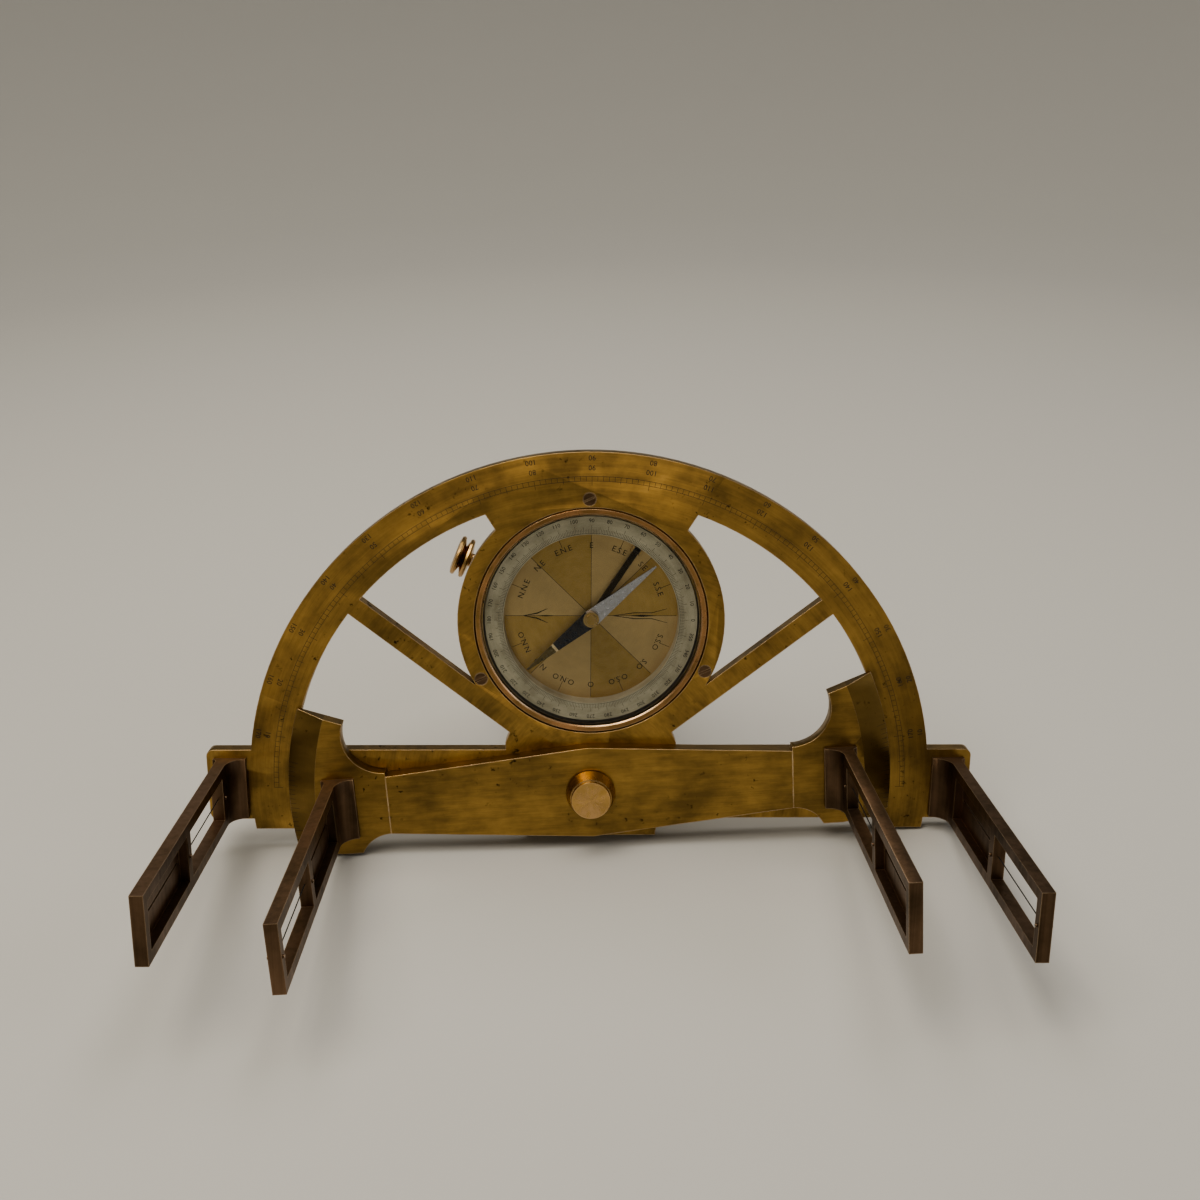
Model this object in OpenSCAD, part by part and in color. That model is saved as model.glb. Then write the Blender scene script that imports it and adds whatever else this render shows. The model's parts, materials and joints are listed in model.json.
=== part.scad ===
// Brass graphometer with open pinnule sights, a sunk compass and a ball-and-socket knee.
// Everything on the limb is drawn in the limb's own plane: X along the ruler, Y up the limb,
// Z out of the divided face. stance() then stands it on its lower edge, leaning back.

/* [Limb] */
// Radius of the outer edge of the half-circle limb
limb_r = 100; // [85:1:125]
// Width of the divided band
band_w = 12.6; // [10:0.2:15]
// Thickness of the limb plate
plate_t = 4; // [3:0.1:5.5]
// How far the band's two ends run on below the centre line
band_drop = 13.2; // [11.5:0.1:15]
// Height of the ruler's top edge above the centre line
ruler_up = 11.8; // [10:0.1:13]
// Drop of the ruler's bottom edge below the centre line
ruler_down = 10; // [9:0.1:11]
// Length of each lug beyond the limb
lug_l = 12.4; // [11:0.1:16]
// Corner radius of the lugs
lug_corner_r = 2; // [1:0.1:5]
// Half width of the foot tab below the pivot
tab_half_w = 19.4; // [14:0.1:24]
// Drop of the foot tab below the centre line
tab_down = 15.5; // [13:0.1:16]
// Radius of the hollow corners beside the foot tab
tab_corner_r = 5; // [2:0.1:5.4]
// Angle of the two spokes above the ruler
spoke_angle = 38.3; // [32:0.1:44]
// Width of each spoke
spoke_w = 5.5; // [4:0.1:8]

/* [Compass seat] */
// Height of the compass centre above the pivot
comp_y = 50.6; // [48:0.1:54]
// Outer radius of the ring of plate that carries the compass
seat_r = 38.3; // [37.5:0.1:40]
// Radius of the compass bore in the plate
seat_bore_r = 33.6; // [30:0.1:34]
// Half angle of the bridge that joins the ring to the band
bridge_half_angle = 45; // [35:1:50]
// Slope of the bridge's two ends
bridge_slope = 58; // [45:1:75]
// Half width of the web's foot on the ruler
web_half_w = 25; // [20:0.1:30]
// Radius of the circle of compass screws
comp_screw_circle_r = 36; // [35.6:0.1:37]
// Radius of a compass screw's countersunk head
comp_screw_head_r = 1.85; // [1.5:0.05:2]
// Radius of a compass screw's shank
comp_screw_r = 0.9; // [0.7:0.05:1.1]

/* [Alidade] */
// Angle at which the alidade rests, anticlockwise
alidade_angle = 3.85; // [0:0.05:8]
// Thickness of the alidade
bar_t = 4.2; // [3.2:0.1:5.5]
// Half width of the bar at the pivot
bar_half_mid = 14; // [12:0.1:16]
// Half width of the bar at the start of the vernier wings
bar_half_end = 9; // [8:0.1:10]
// Width of the vernier wings along the bar
wing_w = 29.2; // [24:0.1:34]
// How far the wings reach over the band's inner edge
wing_over = 1.2; // [0:0.1:3]
// Angle of the top end of each wing above the bar's centre line
wing_top_angle = 20.3; // [15:0.1:26]
// Drop of the wings' bottom edge below the bar's centre line
wing_drop = 14.6; // [12:0.1:17]
// Radius of the large hollow corner above each neck
neck_top_r = 11.6; // [8:0.1:13]
// Step between the bar's top edge and the hollow corner
neck_step = 1.2; // [0.6:0.1:2]
// Radius of the small hollow corner below each neck
neck_low_r = 9.6; // [6:0.1:11]
// Width of the bevelled vernier edge
bevel_w = 8.1; // [5:0.1:10]
// Thickness left at the bevelled edge
bevel_edge_t = 1.1; // [0.6:0.1:2]

/* [Pivot] */
// Radius of the pivot arbor
arbor_r = 4; // [3:0.1:5]
// Radius of the arbor's threads
arbor_thread_r = 2.6; // [2:0.1:3]
// Radius of the front face of the pivot button
button_face_r = 5.6; // [4.5:0.1:6.3]
// Radius of the base of the pivot button
button_base_r = 7.2; // [6.8:0.1:8]
// Height of the pivot button
button_h = 5.4; // [4:0.1:8]
// Radius of the friction washer under the button
washer_r = 6.4; // [5.5:0.1:6.6]
// Thickness of the friction washer
washer_t = 0.5; // [0.3:0.1:1]
// Radius of the nut behind the plate
nut_r = 7.5; // [6:0.1:9]
// Thickness of the nut behind the plate
nut_t = 3; // [2:0.1:4]

/* [Sights] */
// Length of a sight above its seat
sight_l = 85.4; // [60:0.1:105]
// Height of a sight's blade
sight_h = 18.6; // [16:0.1:20]
// Thickness of a sight's blade
sight_t = 3.4; // [3:0.1:4.5]
// Width of the rails along the blade
sight_rail = 2.9; // [2:0.1:3.6]
// Width of the bar across the tip
sight_tip_bar = 2.8; // [2:0.1:4]
// Width of the bar between the window and the slit plate
sight_bridge = 3.4; // [2.5:0.1:6]
// Solid length above the seat before the first opening
sight_root = 9; // [7.5:0.1:14]
// Width of the slit
slit_w = 0.7; // [0.4:0.1:1.2]
// Thickness of the slit plate
slit_web_t = 0.9; // [0.6:0.1:1.4]
// Reach of the foot towards the pivot
foot_in = 4.9; // [4.2:0.1:7]
// Reach of the foot away from the pivot
foot_out = 1.2; // [0.8:0.1:2]
// Thickness of the foot at its edge
foot_t = 1.2; // [0.8:0.1:2]
// Distance of the fixed sights in from the ends of the lugs
fixed_sight_in = 4.9; // [4:0.1:7]
// Distance of the alidade's sights in from the outer edge of the wings
alidade_sight_in = 13.4; // [12:0.1:18]
// Radius of the sighting hair
hair_r = 0.15; // [0.1:0.05:0.3]
// Radius of the pegs that hold the hair
peg_r = 0.5; // [0.4:0.05:0.8]
// Radius of a sight screw's shank
sight_screw_r = 1.15; // [1:0.05:1.4]
// Radius of a sight screw's countersunk head
sight_screw_head_r = 2.2; // [1.8:0.1:2.5]
// Spacing between the two screws of a sight
sight_screw_spacing = 11; // [9:0.1:12.5]
// Depth of a sight screw in the sight
sight_screw_depth = 6; // [4:0.1:6.8]
// Radius of a sight's steady pins
steady_pin_r = 0.8; // [0.6:0.05:1]

/* [Compass] */
// Thickness of the wall of the compass box
box_wall = 2.3; // [1.8:0.1:3]
// Thickness of the floor of the compass box
box_floor = 2.6; // [2.2:0.1:4]
// Thickness of the flange behind the plate
flange_t = 2.2; // [1.8:0.1:3]
// Depth of the dial below the plate's face
dial_depth = 7.4; // [7:0.1:9]
// Thickness of the dial
dial_t = 1; // [0.8:0.1:1.5]
// Inner radius of the degree ring
degree_in_r = 25.3; // [23:0.1:27]
// Depth of the degree ring's face below the plate's face
degree_depth = 2.7; // [2.4:0.1:4]
// Thickness of the glass
glass_t = 1.1; // [0.8:0.1:1.4]
// Width of the bezel's lip
bezel_lip = 1.9; // [1.4:0.1:2.2]
// Thickness of the bezel's lip over the glass
bezel_lip_t = 0.4; // [0.3:0.05:0.8]
// Depth of the bezel's face below the plate's face
bezel_sink = 0.1; // [0.05:0.05:0.3]

/* [Needle] */
// Direction in which the needle's bright end points
needle_angle = 40; // [0:1:359]
// Half length of the needle
needle_half_l = 24.2; // [18:0.1:25]
// Width of the needle at its middle
needle_w = 5.2; // [3.5:0.1:7]
// Thickness of the needle
needle_t = 0.4; // [0.3:0.05:0.6]
// Depth of the needle below the plate's face
needle_depth = 4.2; // [3.8:0.1:4.6]
// Outer radius of the needle's cap
cap_r = 2.3; // [1.8:0.1:3]
// Radius of the hollow in the cap
cap_bore_r = 1; // [0.8:0.1:1.2]
// Radius of the needle's post
post_r = 0.6; // [0.4:0.05:0.7]
// Direction of the needle lifter from the centre
lifter_angle = 57; // [45:1:70]
// Width of the needle lifter's strip
lifter_w = 1.8; // [1:0.1:2.5]
// Thickness of the needle lifter's strip
lifter_t = 0.4; // [0.3:0.05:0.6]
// Lift of the needle lifter's ring
lifter_rise = 0.6; // [0.3:0.05:0.7]
// Distance of the lifter's push pin from the compass centre
push_pin_u = 12; // [8:0.1:14]
// Radius of the lifter's push pin
push_pin_r = 0.9; // [0.7:0.05:1.2]

/* [Knee] */
// Distance from the plate's face back to the centre of the ball
ball_back = 38; // [34:0.1:46]
// Radius of the ball
ball_r = 10; // [8.5:0.1:12]
// Radius of the neck between ball and bracket
stem_r = 3.6; // [3:0.1:4]
// Radius of the stem's journal in the bracket
journal_r = 4.2; // [4:0.1:5]
// Radius of the flange at the foot of the stem
stem_foot_r = 7; // [6:0.1:8]
// Thickness of the flange at the foot of the stem
stem_foot_t = 2.2; // [1.8:0.1:3]
// Radius of the bracket's flange
bracket_r = 18; // [17:0.1:20]
// Thickness of the bracket's flange
bracket_t = 4.2; // [4:0.1:6]
// Height of the bracket's boss above its flange
bracket_boss_h = 5; // [3:0.1:6]
// Turn of the knee about its stem
knee_turn = 22; // [0:1:40]

/* [Socket] */
// Distance from the ball's centre to the open end of the socket
socket_l = 76; // [70:0.5:90]
// Thickness of the two jaws around the ball
jaw_wall = 4.5; // [4:0.1:6]
// Gap between the two jaws
jaw_gap = 0.8; // [0.5:0.1:1.5]
// Outer radius of the socket tube
tube_r = 12.2; // [11:0.1:14]
// Radius of the tripod bore
bore_r = 9; // [7:0.1:9.6]
// Depth of the tripod bore
bore_depth = 38; // [28:0.5:40]
// How far the collar at the open end stands out of the tube
collar_out = 1; // [0.5:0.1:2]
// Width of the collar at the open end
collar_w = 4; // [2:0.1:6]
// Radius of the jaw screw's shank
jaw_screw_r = 2.5; // [2:0.1:3]
// Distance from the ball's centre down to the jaw screw
jaw_screw_down = 16.5; // [15:0.1:18]
// Length of the jaw screw's neck, from its washer to its head
jaw_screw_neck_l = 23.5; // [16:0.1:30]
// Radius of the jaw screw's two-rimmed head
jaw_head_r = 6.5; // [5:0.1:9]
// Thickness of the jaw screw's head
jaw_head_t = 4.2; // [3:0.1:6]
// Depth of the groove round the jaw screw's head
jaw_head_groove = 3; // [1:0.1:4]
// Radius of the thumbscrew that locks the socket on a tripod head
spigot_screw_r = 2; // [1.5:0.1:2.5]
// Distance of that thumbscrew from the open end
spigot_screw_up = 16; // [12:0.5:24]
// Radius of that thumbscrew's milled head
spigot_head_r = 5.5; // [4:0.1:7]

/* [Stance] */
// Lean of the limb back from the vertical
lean = 11; // [8:0.5:14]

/* [Fits] */
// Radial clearance of a pin that turns in its bore
run_clear = 0.05; // [0.02:0.01:0.09]
// Gap between faces that slide over each other
slide_gap = 0.1; // [0.05:0.01:0.2]
// Radial clearance of a fixed piece in its seat
seat_clear = 0.05; // [0.02:0.01:0.09]

/* [Hidden] */

$fn = 96;
eps = 0.01;      // overrun of a cut past a face
over = 1;        // longer overrun where nothing is near
fine = 32;       // segments of small round parts

brass = "#8a6a24";
dark_brass = "#5e4a2a";
bright_brass = "#b8863f";
silvered = "#9a948a";
steel = "#3d4048";
pale_steel = "#9c98a0";
glass_tint = "#cfd8dc";
agate = "#7a3b22";

// ---- limb ----
band_in_r = limb_r - band_w;
lug_x = limb_r + lug_l;
comp_screw_angles = [91, 208, 336];

// ---- alidade ----
wing_r = band_in_r + wing_over;
neck_u = wing_r - wing_w;
bar_z0 = slide_gap;
bar_z1 = bar_z0 + bar_t;
wing_low_corner = [wing_r * cos(8), -wing_r * sin(8)];
wing_flat_u = neck_u + 14.6;
washer_z = bar_z1 + slide_gap / 2;
button_z = washer_z + washer_t;

// ---- sights ----
fixed_sight_x = lug_x - fixed_sight_in;
alidade_sight_u = wing_r - alidade_sight_in;
window_l = (sight_l - sight_root - sight_bridge - sight_tip_bar) / 2;
window_half_h = sight_h / 2 - sight_rail;
inner_z = sight_root;
outer_z = sight_root + window_l + sight_bridge;
hole_r = sight_screw_r + seat_clear;
head_t = sight_screw_head_r - sight_screw_r;
steady_x = sight_t / 2 + foot_in * 0.45;
steady_depth = foot_t;

// ---- compass ----
box_r = seat_bore_r - seat_clear * 4;
box_in_r = box_r - box_wall;
flange_r = seat_r - 0.3;
glass_z1 = -bezel_sink - bezel_lip_t;
glass_z0 = glass_z1 - glass_t;
glass_r = box_r - 1.2;
dial_z = -dial_depth;
box_in_z = dial_z - dial_t;
box_back_z = box_in_z - box_floor;
ring_out_r = box_in_r - 0.5;
flange_z = -plate_t - flange_t;

// ---- needle ----
needle_z1 = -needle_depth;
cap_z1 = -needle_depth + 1.9;
cap_z0 = needle_z1 - needle_t - 0.4;
jewel_z = cap_z1 - 1.1;
tip_z = jewel_z - run_clear;
lifter_z1 = cap_z0 - lifter_rise - run_clear;
lifter_z0 = lifter_z1 - lifter_t;
lifter_hinge_u = degree_in_r - 1.6;
lifter_pin_r = 0.4;
lifter_eye_r = 0.75;
lifter_cheek_t = 0.5;
lifter_hinge_z = (lifter_z0 + lifter_z1) / 2;
push_head_r = 3;
push_head_t = 1.6;
push_gap = 1.2;

// ---- knee ----
ball_c = [0, comp_y, -ball_back];
bracket_z1 = box_back_z;
bracket_z0 = bracket_z1 - bracket_t;
boss_z0 = bracket_z0 - bracket_boss_h;
boss_r = journal_r + 4;
bracket_screw_circle_r = bracket_r - 3;
bracket_screw_r = 1;
bracket_screw_head_r = 1.9;
bracket_screw_angles = [30, 150, 270];
stem_pocket_t = stem_foot_t + slide_gap;

// ---- socket, drawn with the ball's centre at zero and the mouth towards +Z ----
jaw_r = ball_r + jaw_wall;
cavity_r = ball_r + run_clear;
bore_top_z = -socket_l + bore_depth;
jaw_low_z = -jaw_screw_down - 5.6;
boss_x = jaw_r - 1;
jaw_washer_t = 1;
jaw_pin_r = 0.9;
jaw_pin_z = -jaw_screw_down + 3.6;
jaw_pin_y = 7;
stem_half_angle = asin(stem_r / ball_r);

// ---- stance: roll and tilt that bring three points to the floor ----
// turns a vector of the limb's frame to the standing frame, for a given roll
function roll_turn(p, a) = [p.x * cos(a) + p.y * sin(a), p.y * cos(a) - p.x * sin(a), p.z];
function lean_turn(p) = [p.x, p.y * sin(lean) - p.z * cos(lean), p.y * cos(lean) + p.z * sin(lean)];
function alidade_turn(p) = [p.x * cos(alidade_angle) - p.y * sin(alidade_angle),
                            p.x * sin(alidade_angle) + p.y * cos(alidade_angle), p.z];
wing_foot = alidade_turn([-wing_flat_u, -wing_drop, bar_z0]);
band_foot = [sqrt(limb_r * limb_r - band_drop * band_drop), -band_drop, -plate_t];
foot_dx = band_foot.x - wing_foot.x;
foot_dy = wing_foot.y - band_foot.y;
roll = asin((band_foot.z - wing_foot.z) * tan(lean) / norm([foot_dx, foot_dy]))
       - atan2(foot_dy, foot_dx);
function stand(p) = lean_turn(roll_turn(p, roll));
floor_z = stand(wing_foot).z;
ball_h = stand(ball_c).z - floor_z;
collar_r = tube_r + collar_out;
end_drop = asin(ball_h / norm([socket_l, collar_r])) - atan2(collar_r, socket_l);
slide_dir = [-sin(knee_turn), -cos(knee_turn), 0];
down_share = -stand(slide_dir).z;
knee_tilt = asin(sin(end_drop) / norm([sin(lean), down_share])) - atan2(sin(lean), down_share);
mouth_half_angle = knee_tilt + stem_half_angle + 1.2;
socket_dir = [slide_dir.x * sin(knee_tilt), slide_dir.y * sin(knee_tilt), -cos(knee_tilt)];
end_world = stand(ball_c + socket_l * socket_dir);
end_dir_y = stand(socket_dir).y;
rear_y = end_world.y + collar_r * sqrt(1 - end_dir_y * end_dir_y);
tip_foot = alidade_turn([-alidade_sight_u - sight_t / 2, -sight_h / 2, bar_z1 + sight_l]);
front_y = stand(tip_foot).y;
shift = [0, -(rear_y + front_y) / 2, -floor_z];
echo(roll = roll, knee_tilt = knee_tilt, mouth_half_angle = mouth_half_angle, shift = shift);

module stance() {
    translate(shift) rotate([90 - lean, 0, 0]) rotate([0, 0, -roll]) children();
}

module on_alidade() {
    stance() rotate([0, 0, alidade_angle]) children();
}

module at_compass() {
    stance() translate([0, comp_y, 0]) children();
}

module at_knee() {
    stance() translate(ball_c) rotate([0, 0, -knee_turn]) rotate([-knee_tilt, 0, 0]) children();
}

// an upright cylinder between two heights
module disc(r, z0, z1, fn = $fn) {
    translate([0, 0, z0]) cylinder(r = r, h = z1 - z0, $fn = fn);
}

// a flat ring between two heights
module ring(r_out, r_in, z0, z1) {
    difference() {
        disc(r_out, z0, z1);
        disc(r_in, z0 - over, z1 + over);
    }
}

// ---------------------------------------------------------------- limb plate

module ruler_outline() {
    translate([-lug_x + lug_corner_r, -ruler_down])
        square([2 * (lug_x - lug_corner_r), ruler_down + ruler_up]);
    for (side = [-1, 1]) {
        for (y = [ruler_up - lug_corner_r, -ruler_down + lug_corner_r])
            translate([side * (lug_x - lug_corner_r), y]) circle(r = lug_corner_r, $fn = fine);
        translate([side > 0 ? lug_x - lug_corner_r : -lug_x, -ruler_down + lug_corner_r])
            square([lug_corner_r, ruler_up + ruler_down - 2 * lug_corner_r]);
    }
}

module band_outline() {
    difference() {
        circle(r = limb_r, $fn = 180);
        circle(r = band_in_r, $fn = 180);
        translate([-limb_r - over, -limb_r - over]) square([2 * (limb_r + over), limb_r + over - band_drop]);
    }
}

module tab_outline() {
    fillet_y = -ruler_down - tab_corner_r + 0.1;
    difference() {
        translate([-tab_half_w - tab_corner_r, -tab_down])
            square([2 * (tab_half_w + tab_corner_r), tab_down]);
        for (side = [-1, 1]) {
            translate([side * (tab_half_w + tab_corner_r), fillet_y]) circle(r = tab_corner_r, $fn = fine);
            translate([side > 0 ? tab_half_w : -tab_half_w - tab_corner_r, fillet_y - tab_corner_r])
                square([tab_corner_r, tab_corner_r]);
        }
    }
}

// one spoke with its share of the web beside the compass
module spoke_outline() {
    foot = [web_half_w - 1.3, ruler_up + 5.4];
    along = [cos(spoke_angle), sin(spoke_angle)];
    across = [-sin(spoke_angle), cos(spoke_angle)];
    reach = band_in_r + band_w / 3 - foot.x;
    upper = foot + spoke_w * across;
    notch = upper + 16 * along;
    polygon([[0, 0], [web_half_w, 0], [web_half_w, ruler_up + 2.2], foot, foot + reach * along,
             upper + reach * along, notch, notch + 9 * across, [0, comp_y]]);
}

module limb_outline() {
    bridge = [seat_r * sin(bridge_half_angle), comp_y + seat_r * cos(bridge_half_angle)];
    bridge_dir = [cos(bridge_slope), sin(bridge_slope)];
    bridge_foot = bridge - 2 * bridge_dir;
    bridge_end_r = band_in_r + band_w * 0.6;
    bridge_run = bridge * bridge_dir;
    bridge_l = sqrt(bridge_run * bridge_run - bridge * bridge + bridge_end_r * bridge_end_r) - bridge_run;
    bridge_top = bridge + bridge_l * bridge_dir;
    ruler_outline();
    band_outline();
    tab_outline();
    translate([0, comp_y]) circle(r = seat_r);
    intersection() {
        circle(r = limb_r - band_w / 2, $fn = 180);
        union() {
            polygon([bridge_foot, bridge_top, [-bridge_top.x, bridge_top.y], [-bridge_foot.x, bridge_foot.y]]);
            spoke_outline();
            mirror([1, 0]) spoke_outline();
        }
    }
}

module limb_plate() {
    color(brass) stance() difference() {
        translate([0, 0, -plate_t]) linear_extrude(plate_t) limb_outline();
        disc(arbor_r + seat_clear, -plate_t - over, over);
        translate([0, comp_y, 0]) {
            disc(seat_bore_r, -plate_t - over, over);
            for (a = comp_screw_angles) rotate([0, 0, a]) translate([comp_screw_circle_r, 0, 0]) {
                disc(comp_screw_r + seat_clear, -plate_t - over, over, fine);
                disc(comp_screw_head_r + seat_clear, -1, over, fine);
            }
        }
        for (side = [0, 1]) mirror([side, 0, 0]) translate([-fixed_sight_x, 0, -plate_t]) seat_holes(plate_t);
    }
}

// ---------------------------------------------------------------- sights

// holes through a bar of thickness t under one sight, heads sunk in its back face
module seat_holes(t) {
    for (s = [-1, 1]) {
        translate([0, s * sight_screw_spacing / 2, 0]) {
            disc(hole_r, -over, t + over, fine);
            disc(sight_screw_head_r + seat_clear, -over, head_t + seat_clear, fine);
        }
        translate([steady_x, s * sight_screw_spacing / 2, 0])
            disc(steady_pin_r + seat_clear, t - steady_depth, t + over, fine);
    }
}

module sight_profile() {
    edge = sight_t / 2;
    translate([-edge, 0]) square([sight_t, sight_l]);
    translate([-edge - foot_out, 0]) square([sight_t + foot_out + foot_in, foot_t]);
    difference() {
        translate([edge - eps, foot_t - eps]) square(foot_in);
        translate([edge + foot_in, foot_t + foot_in]) circle(r = foot_in);
    }
    difference() {
        translate([-edge - foot_out + eps, foot_t - eps]) square(foot_out);
        translate([-edge - foot_out, foot_t + foot_out]) circle(r = foot_out, $fn = fine);
    }
}

// one sight standing on z = 0, +X towards the pivot; window_first puts the window next to the foot
module sight(window_first) {
    window_z = window_first ? inner_z : outer_z;
    web_z = window_first ? outer_z : inner_z;
    web_x = -sight_t / 2 + slit_web_t;
    difference() {
        translate([0, sight_h / 2, 0]) rotate([90, 0, 0]) linear_extrude(sight_h) sight_profile();
        translate([-sight_t, -window_half_h, window_z]) cube([3 * sight_t, 2 * window_half_h, window_l]);
        translate([web_x, -window_half_h, web_z]) cube([3 * sight_t, 2 * window_half_h, window_l]);
        translate([-sight_t, -slit_w / 2, web_z + over]) cube([3 * sight_t, slit_w, window_l - 2 * over]);
        for (s = [-1, 1]) {
            translate([0, s * sight_screw_spacing / 2, 0])
                disc(hole_r, -over, sight_screw_depth + seat_clear, fine);
            translate([steady_x, s * sight_screw_spacing / 2, 0])
                disc(steady_pin_r + seat_clear, -over, steady_depth, fine);
        }
        peg_places(window_z) rotate([0, 90, 0])
            translate([0, 0, -sight_t]) cylinder(r = peg_r + seat_clear, h = 2 * sight_t, $fn = fine);
    }
}

// the two peg places of one window
module peg_places(window_z) {
    for (z = [window_z - sight_bridge / 2, window_z + window_l + sight_tip_bar / 2])
        translate([0, 0, z]) children();
}

module sight_pegs(window_z) {
    color(dark_brass) peg_places(window_z) rotate([0, 90, 0])
        translate([0, 0, -sight_t / 2 - 0.4]) cylinder(r = peg_r, h = sight_t + 0.8, $fn = fine);
}

module sight_hair(window_z) {
    color(steel) disc(hair_r, window_z, window_z + window_l, fine);
}

// two countersunk screws from behind a bar of thickness t, whose back face is at z = 0
module sight_screws(t) {
    color(dark_brass) for (s = [-1, 1]) translate([0, s * sight_screw_spacing / 2, 0]) difference() {
        union() {
            disc(sight_screw_r, 0, t + sight_screw_depth, fine);
            disc(sight_screw_head_r, 0, head_t, fine);
        }
        translate([-sight_screw_head_r - over, -0.3, -over])
            cube([2 * (sight_screw_head_r + over), 0.6, over + head_t / 2]);
    }
}

module steady_pins(t) {
    color(dark_brass) for (s = [-1, 1]) translate([steady_x, s * sight_screw_spacing / 2, 0])
        disc(steady_pin_r, t - steady_depth, t + steady_depth - seat_clear, fine);
}

// the left seat is drawn as is, the right one mirrored
module fixed_seat(side, z) {
    stance() mirror([side, 0, 0]) translate([-fixed_sight_x, 0, z]) children();
}

module alidade_seat(side, z) {
    on_alidade() mirror([side, 0, 0]) translate([-alidade_sight_u, 0, z]) children();
}

module fixed_sight_left() { color(dark_brass) fixed_seat(0, 0) sight(true); }
module fixed_sight_right() { color(dark_brass) fixed_seat(1, 0) sight(false); }
module alidade_sight_left() { color(dark_brass) alidade_seat(0, bar_z1) sight(false); }
module alidade_sight_right() { color(dark_brass) alidade_seat(1, bar_z1) sight(true); }

module fixed_sight_screws() { for (side = [0, 1]) fixed_seat(side, -plate_t) sight_screws(plate_t); }
module alidade_sight_screws() { for (side = [0, 1]) alidade_seat(side, bar_z0) sight_screws(bar_t); }
module fixed_sight_pins() { for (side = [0, 1]) fixed_seat(side, -plate_t) steady_pins(plate_t); }
module alidade_sight_pins() { for (side = [0, 1]) alidade_seat(side, bar_z0) steady_pins(bar_t); }

module fixed_sight_hairs() {
    fixed_seat(0, 0) sight_hair(inner_z);
    fixed_seat(1, 0) sight_hair(outer_z);
}

module fixed_hair_pegs() {
    fixed_seat(0, 0) sight_pegs(inner_z);
    fixed_seat(1, 0) sight_pegs(outer_z);
}

module alidade_sight_hairs() {
    alidade_seat(0, bar_z1) sight_hair(outer_z);
    alidade_seat(1, bar_z1) sight_hair(inner_z);
}

module alidade_hair_pegs() {
    alidade_seat(0, bar_z1) sight_pegs(outer_z);
    alidade_seat(1, bar_z1) sight_pegs(inner_z);
}

// ---------------------------------------------------------------- alidade

module wing_outline() {
    top_dir = [cos(wing_top_angle), sin(wing_top_angle)];
    far = wing_r * 1.1;
    low = wing_low_corner * 1.1;
    difference() {
        intersection() {
            circle(r = wing_r, $fn = 180);
            polygon([[neck_u, -wing_drop], [wing_flat_u, -wing_drop], wing_low_corner, low, [far, 0],
                     far * top_dir, neck_u / top_dir.x * top_dir]);
        }
        translate([neck_u, bar_half_end + neck_step + neck_top_r]) circle(r = neck_top_r);
        translate([neck_u, -bar_half_end - neck_low_r]) circle(r = neck_low_r);
    }
}

module alidade_outline() {
    polygon([[-neck_u, bar_half_end], [0, bar_half_mid], [neck_u, bar_half_end],
             [neck_u, -bar_half_end], [0, -bar_half_mid], [-neck_u, -bar_half_end]]);
    wing_outline();
    mirror([1, 0]) wing_outline();
}

module alidade_bar() {
    bevel_slope = (bar_t - bevel_edge_t) / bevel_w;
    color(brass) on_alidade() difference() {
        translate([0, 0, bar_z0]) linear_extrude(bar_t) alidade_outline();
        rotate_extrude($fn = 180)
            polygon([[wing_r - bevel_w, bar_z1], [wing_r + over, bar_z1 - bevel_slope * (bevel_w + over)],
                     [wing_r + over, bar_z1 + over], [wing_r - bevel_w, bar_z1 + over]]);
        disc(arbor_r + run_clear, bar_z0 - over, bar_z1 + over);
        for (side = [0, 1]) mirror([side, 0, 0]) translate([-alidade_sight_u, 0, bar_z0]) seat_holes(bar_t);
    }
}

// ---------------------------------------------------------------- pivot

module pivot_arbor() {
    color(dark_brass) stance() {
        disc(arbor_r, -plate_t, washer_z);
        disc(arbor_thread_r, -plate_t - nut_t, button_z + button_h - 1.2, fine);
    }
}

module pivot_washer() {
    color(bright_brass) stance() ring(washer_r, arbor_thread_r + seat_clear, washer_z, button_z);
}

module pivot_button() {
    groove_z = button_h - 1.4;
    color(bright_brass) stance() difference() {
        translate([0, 0, button_z]) rotate_extrude()
            polygon([[0, 0], [button_base_r - 0.2, 0], [button_base_r, 0.3], [button_face_r + 0.4, groove_z],
                     [button_face_r, groove_z + 0.2], [button_face_r, groove_z + 0.5],
                     [button_face_r + 0.2, groove_z + 0.7], [button_face_r, button_h], [0, button_h]]);
        disc(arbor_thread_r + seat_clear, button_z - over, button_z + button_h - 1.2 + seat_clear, fine);
    }
}

module pivot_nut() {
    color(dark_brass) stance() difference() {
        ring(nut_r, arbor_thread_r + seat_clear, -plate_t - nut_t, -plate_t);
        translate([-nut_r - over, -0.7, -plate_t - nut_t - over]) cube([2 * (nut_r + over), 1.4, over + 1]);
    }
}

// ---------------------------------------------------------------- compass

module compass_box() {
    color(brass) at_compass() difference() {
        union() {
            disc(box_r, box_back_z, glass_z0);
            disc(flange_r, flange_z, -plate_t);
        }
        disc(box_in_r, box_in_z, over);
        for (a = comp_screw_angles) rotate([0, 0, a]) translate([comp_screw_circle_r, 0, 0])
            disc(comp_screw_r + seat_clear, flange_z - over, over, fine);
        rotate([0, 0, lifter_angle]) translate([push_pin_u, 0, 0])
            disc(push_pin_r + run_clear, box_back_z - over, over, fine);
        for (a = bracket_screw_angles) rotate([0, 0, a]) translate([bracket_screw_circle_r, 0, 0])
            disc(bracket_screw_r + seat_clear, box_back_z - over, box_back_z + 1.8, fine);
    }
}

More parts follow.
